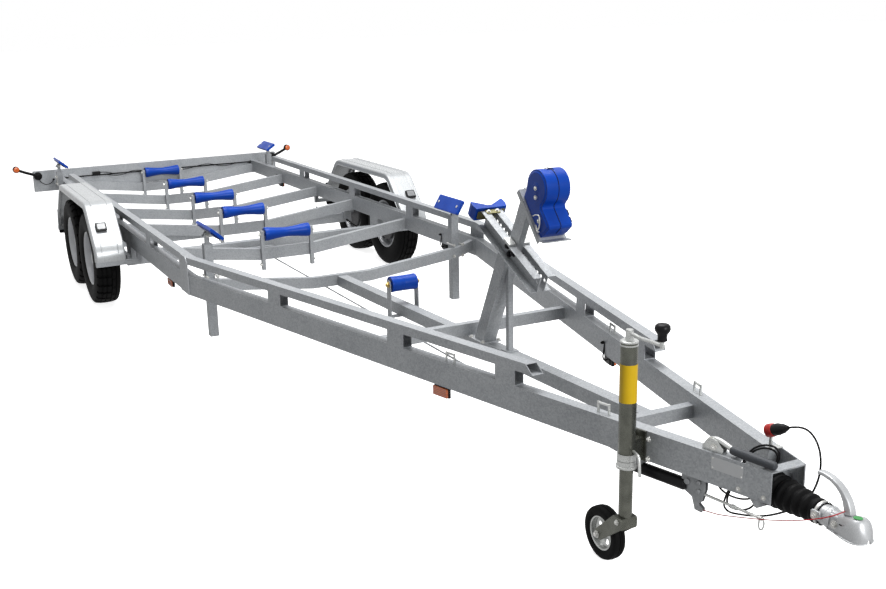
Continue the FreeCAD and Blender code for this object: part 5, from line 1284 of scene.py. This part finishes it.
def linkage():
    """The long rod under the frame, its equaliser and the cables to the brakes."""
    rods = [through([(5150, -158, 368), (560, -60, 300)], 4.8, smooth=False)]
    for y in (300, -300):
        rods.append(through([
            (560, -60, 300), (600, y * 0.3, 285), (520, y, 292), (440, y * 2.4, 300), (360, y * 3.2, 315),
        ], 4.5))
    dress("brake_pull_rods", rods, "zinc_dull")
    dress("brake_equaliser", box((22, 240, 18), stand_at(560, -60, 300), 2), "galvanised")


def plug_shell():
    """Black ribbed plug with a red cap, and the post that it is parked on."""
    tip = at(*PLUG_ROUTE[0])
    ahead = (at(*PLUG_ROUTE[1]) - tip).normalized()
    stand = facing(tip - ahead * 0.062, ahead)
    body = turned([
        (0, 19.5), (4, 20), (20, 20), (24, 18.5), (40, 16), (44, 13), (48, 12.8), (50, 10.5),
        (54, 10.4), (56, 8), (60, 7.8), (62, 5.5),
    ], 36, stand, 0.6)
    body = dress("plug_shell", body, "black_plastic", stands_for=("plug",))
    cap = [(-25, 19), (-26.2, 22.5), (-23.5, 23.2), (-4, 22.6), (-1, 21.2), (1, 20)]
    cap = dress("plug_cap", turned(cap, 36, stand, 0.6), "plug_red")
    middle = tip - ahead * 0.075
    x, y = middle.x * 1000, middle.y * 1000
    rail_x = x + AXLES_TO_MIDDLE
    rail_middle = (rail_outer(rail_x) + rail_inner(rail_x)) / 2
    dress("plug_holder", [
        box((10, 8, 56), shifted(x, y, 549.3), 1), box((26, 50, 4), shifted(x, rail_middle, 523.3), 0.8),
    ], "zinc_bright")
    return [body, cap]


def handbrake():
    """Bent lever with its thick grip, on a toothed arch over the right rail."""
    rear, front = 5488, 5716
    pivot = at(rear, -(rail_outer(rear) + rail_inner(rear)) / 2, 543.7)
    tip = at(front, -rail_outer(front) + 16, 538.1)
    run = (tip - pivot).normalized()
    length = (tip - pivot).length * 1000
    grip_start = length * 0.26
    reach = length - grip_start
    grip = turned([
        (0, 10.5), (2.5, 12.8), (12, 14.6), (reach * 0.35, 15.4), (reach * 0.60, 15.2),
        (reach * 0.86, 14.6), (reach - 10, 14.2), (reach - 4, 12), (reach, 6),
    ], 32, facing(off(pivot, run, grip_start), run))
    dress("handbrake_grip", grip, "grip_grey")
    bends = ((-36, -12), (-30, 8), (-4, 19), (30, 16), (grip_start + 12, 0))
    pieces = [bar([off(pivot, run, along, up) for along, up in bends], 8.8, 4)]
    arch = [(-44, -22.2), (34, -22.2), (36, -6), *arc(-6, -10, 32, 30, 160, 12), (-44, -8)]
    for step in (9, -13):
        pieces.append(cut(arch, 4, Matrix.Translation(off(pivot, RAIL_OUT, step)) @ RAIL_TURN, 0.6))
    dress("handbrake_arch", pieces, "zinc_bright", stands_for=("brake_linkage",))
    heads("handbrake_pivot", [facing(off(pivot, RAIL_OUT, 12.8, -6), RAIL_OUT)], 1.1)


def brake_gear():
    """Black spring cylinder, pressed lever with its hook, and the rod with its clip."""
    handbrake()
    middle = at(5275, -157, 367)
    sleeve = [(-120, 15), (-119, 20.5), (-112, 22), (104, 22), (110, 20), (112, 16.5), (120, 16)]
    dress("brake_spring_sleeve", turned(sleeve, 40, facing(middle, RAIL_WAY), 0.8), "black_plastic")
    spot = off(middle, RAIL_WAY, 142)
    ground = Vector((spot.x, spot.y, 0))
    lever = rounded([
        (-44, 410.7), (52.8, 410.7), (52.8, 373), (39.6, 327), (26.4, 316.5), (44, 304), (44, 289),
        (13.2, 292), (0, 335), (-44, 356),
    ], 3.5, 3)
    pieces = [
        cut(lever, 4, Matrix.Translation(off(ground, RAIL_OUT, step)) @ RAIL_TURN, 0.7)
        for step in (-8.5, 4.5)
    ]
    for along, up, radius in ((-20, 385, 11), (26, 362, 9), (28, 395, 8)):
        pin = [(-16, radius * 0.7), (-14, radius), (14, radius), (16, radius * 0.7)]
        pieces.append(turned(pin, 24, facing(off(ground, RAIL_WAY, along, up), RAIL_OUT), 0.5))
    saddle = Matrix.Translation(off(middle, RAIL_WAY, -84, 31.5)) @ Matrix.Rotation(DRAW_IN, 4, "Z")
    pieces.append(box((30, 40, 24), saddle, 2))
    dress("brake_lever_pressed", pieces, "zinc_dull")
    rod_start = off(ground, RAIL_WAY, 30, 356)
    rod_end = at(5690, -77.7, 356)
    hook = ((0, 0), (8, -4), (6, -30), (-4, -42), (-14, -30), (-10, -6))
    rods = [
        bar([rod_start, off(rod_end, RAIL_WAY, 4)], 5, smooth=False),
        bar([off(rod_end, RAIL_WAY, along, up) for along, up in hook], 3, 2),
    ]
    for share in (0.55, 0.97):
        stand = facing(rod_start.lerp(rod_end, share), rod_end - rod_start)
        rods.append(turned([(-6, 8.5), (6, 8.5)], 6, stand, 0.8))
    dress("brake_push_rod", rods, "zinc_bright")


# wiring and small steel

WIRING_LOOPS = (
    ((-2496, -620, 512), (-2484, -570, 530), (-2486, -500, 525), (-2495, -450, 509)),
    ((-2496, -500, 500), (-2488, -440, 486), (-2484, -360, 489), (-2496, -310, 501)),
    ((-2496, -300, 508), (-2490, -260, 520), (-2486, -200, 517), (-2496, -150, 508)),
    ((-2496, 120, 500), (-2486, 180, 488), (-2484, 270, 490), (-2496, 330, 502)),
    ((-2496, 360, 508), (-2486, 420, 521), (-2487, 480, 520), (-2496, 530, 508)),
    ((-2496, 550, 499), (-2487, 600, 487), (-2487, 680, 489), (-2496, 730, 500)),
)
LAMP_LOOP = (
    (-2499, 985, 500), (-2470, 1010, 470), (-2466, 1060, 458), (-2476, 1100, 480), (-2486, 1116, 515),
    (-2490, 1120, 538),
)


def rear_wiring():
    """Gland, ties and loose loops of the wiring on the rear beam."""
    trim = []
    for y in (-720, -520, -300, -120, 100, 340, 520, 740):
        tie = [(-3, 6.8), (-3, 7.8), (3, 7.8), (3, 6.8)]
        trim.append(ringed(tie, 20, facing(at(HARNESS_X, y, 504.5), (0, 1, 0))))
        trim.append(box((6, 6, 5), stand_at(-2492.5, y, 510), 0.6))
    for side in BOTH:
        boot = [(0, 12.5), (4, 13), (10, 12), (34, 7.5), (40, 6.4)]
        trim.append(ringed(boot, 24, facing(at(HARNESS_X, side * 901.5, 503), (0, -side, 0))))
    trim.append(box((30, 70, 34), stand_at(-2488, -600, 522), 4, 3))
    trim += [through(line, 3.2, 2) for line in WIRING_LOOPS]
    for side in BOTH:
        trim.append(through([(x, side * y, z) for x, y, z in LAMP_LOOP], 3.6, 2))
        stand = facing(at(BEAM_FACE, side * 985, 500), AHEAD)
        trim.append(turned([(0, 10), (12, 9), (22, 5)], 20, stand, 0.6))
    dress("rear_wiring_trim", trim, "black_plastic")


def marker_leads():
    """Rubber tails that bring each side marker's lead up inside its rail."""
    tails = []
    for side in BOTH:
        for x in MARKER_PLACES:
            inner = rail_inner(x) - 4
            line = (
                (0, rail_outer(x) - 24, 388), (2, inner + 8, 376), (4, inner - 6, 400), (6, inner, 432),
                (6, inner + 3.5, 470),
            )
            tails.append(through([(x + along, side * y, z) for along, y, z in line], 3.4, 2))
            stand = facing(at(x, side * (inner + 4), 468), (0, -side, 0))
            tails.append(turned([(0, 7.5), (10, 7), (18, 4)], 18, stand, 0.5))
    dress("marker_tails", tails, "black_rubber")


def small_steel():
    """Bolts that hold the axles, and the hoses to the brakes."""
    seats = (177.5, -477.5)
    bolts("axle_seat_bolts", [
        ((x + step, side * 952.4, 440), (0, side, 0)) for x in seats for side in BOTH for step in (-45, 45)
    ], size=1.25)
    hoses = []
    for side in BOTH:
        for x in seats:
            line = [
                (x + along, side * y, z)
                for along, y, z in ((-30, 840, 330), (50, 900, 270), (100, 970, 262), (130, 1030, 290))
            ]
            hoses.append(through(line, 5.5))
            end = at(*line[0])
            hoses.append(turned([(0, 6.5), (30, 8.5), (34, 6)], 18, facing(end, end - at(*line[1]))))
    dress("brake_hoses", hoses, "black_rubber")


# cords

PLUG_ROUTE = (
    (5634, 66, 618), (5676, 69, 637), (5722, 73, 634), (5756, 76, 598), (5768, 78, 548),
    (5764, 79, 496), (5750, 78, 448), (5728, 74, 402), (5694, 66, 364), (5648, 50, 330),
    (5596, 34, 300), (5550, 17, 284), (5505, 1, 275), (5471, -22, 275), (5458, -34, 304),
    (5485, -28, 378), (5516, -19, 452), (5548, -10, 526), (5585, 9, 555), (5619, 32, 555),
    (5632, 44, 526), (5605, 38, 452), (5575, 30, 378), (5542, 20, 310), (5504, 11, 287),
    (5469, -11, 287), (5460, -22, 315), (5485, -16, 384), (5510, -9, 446), (5540, 0, 512),
    (5574, 18, 539), (5606, 38, 539), (5617, 50, 512), (5593, 44, 446), (5566, 37, 384),
    (5530, 33, 336), (5478, 30, 312), (5424, 24, 306), (5380, 18, 318), (5361, 17, 352),
    (5360.6, 21.4, 396), (5368.6, 54.4, 430), (5379.9, 101, 430),
)
BREAKAWAY_ROUTE = (
    (5456.1, -112.8, 297), (5500, -102, 299), (5545, -101, 312), (5600, -100, 330), (5660, -99, 350),
    (5720, -96, 370), (5780, -90, 392), (5836, -83, 414), (5886, -73, 436), (5926, -62, 456),
    (5952, -44, 472), (5956, -13.5, 478),
)
HARNESS_ROUTE = tuple(
    (HARNESS_X, 901.7 * (2 * number / 11 - 1), 503 + 3 * (number % 2)) for number in range(12)
)


def cord_curve(name, route, diameter, finish, node):
    """Smooth line through a cord's route, as thick as the cord."""
    piece = new_curve(name, [at(*spot) for spot in route], diameter / 2, 4)
    piece.data.resolution_u = 10
    piece.data.materials.append(FINISHES[finish].material)
    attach(piece, "trailer_frame")
    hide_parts(node)
    return piece


def cords():
    """The three cables, each a round line."""
    cord_curve("plug_lead", PLUG_ROUTE, 7, "cable_black", "plug_cable")
    tuple(at(*PLUG_ROUTE[-1]))
    plug_shell()
    cord_curve("breakaway_lead", BREAKAWAY_ROUTE, 3.6, "cable_red", "breakaway_cable")
    tuple(at(*BREAKAWAY_ROUTE[0]))
    cord_curve("harness_lead", HARNESS_ROUTE, 12, "cable_black", "wiring_harness")
    tuple(at(*HARNESS_ROUTE[0]))


make_camera()
cords()
for make in (
    wheels, rollers, hull_pads, mudguards, side_markers, outline_lamps, tail_lamps, winch_channels,
    winch, snubber, jockey, coupling, bellows, nose, brake_gear, linkage, rear_wiring, marker_leads,
    small_steel, make_world, make_floor,
):
    make()
make_light("sky_light", at(1800, 800, 8500), at(1800, 0, 400), 7.0, 1000)
make_light("front_light", at(15000, 1000, 4500), at(1500, 0, 400), 5.0, 900)
bpy.context.scene.view_settings.view_transform = "Standard"
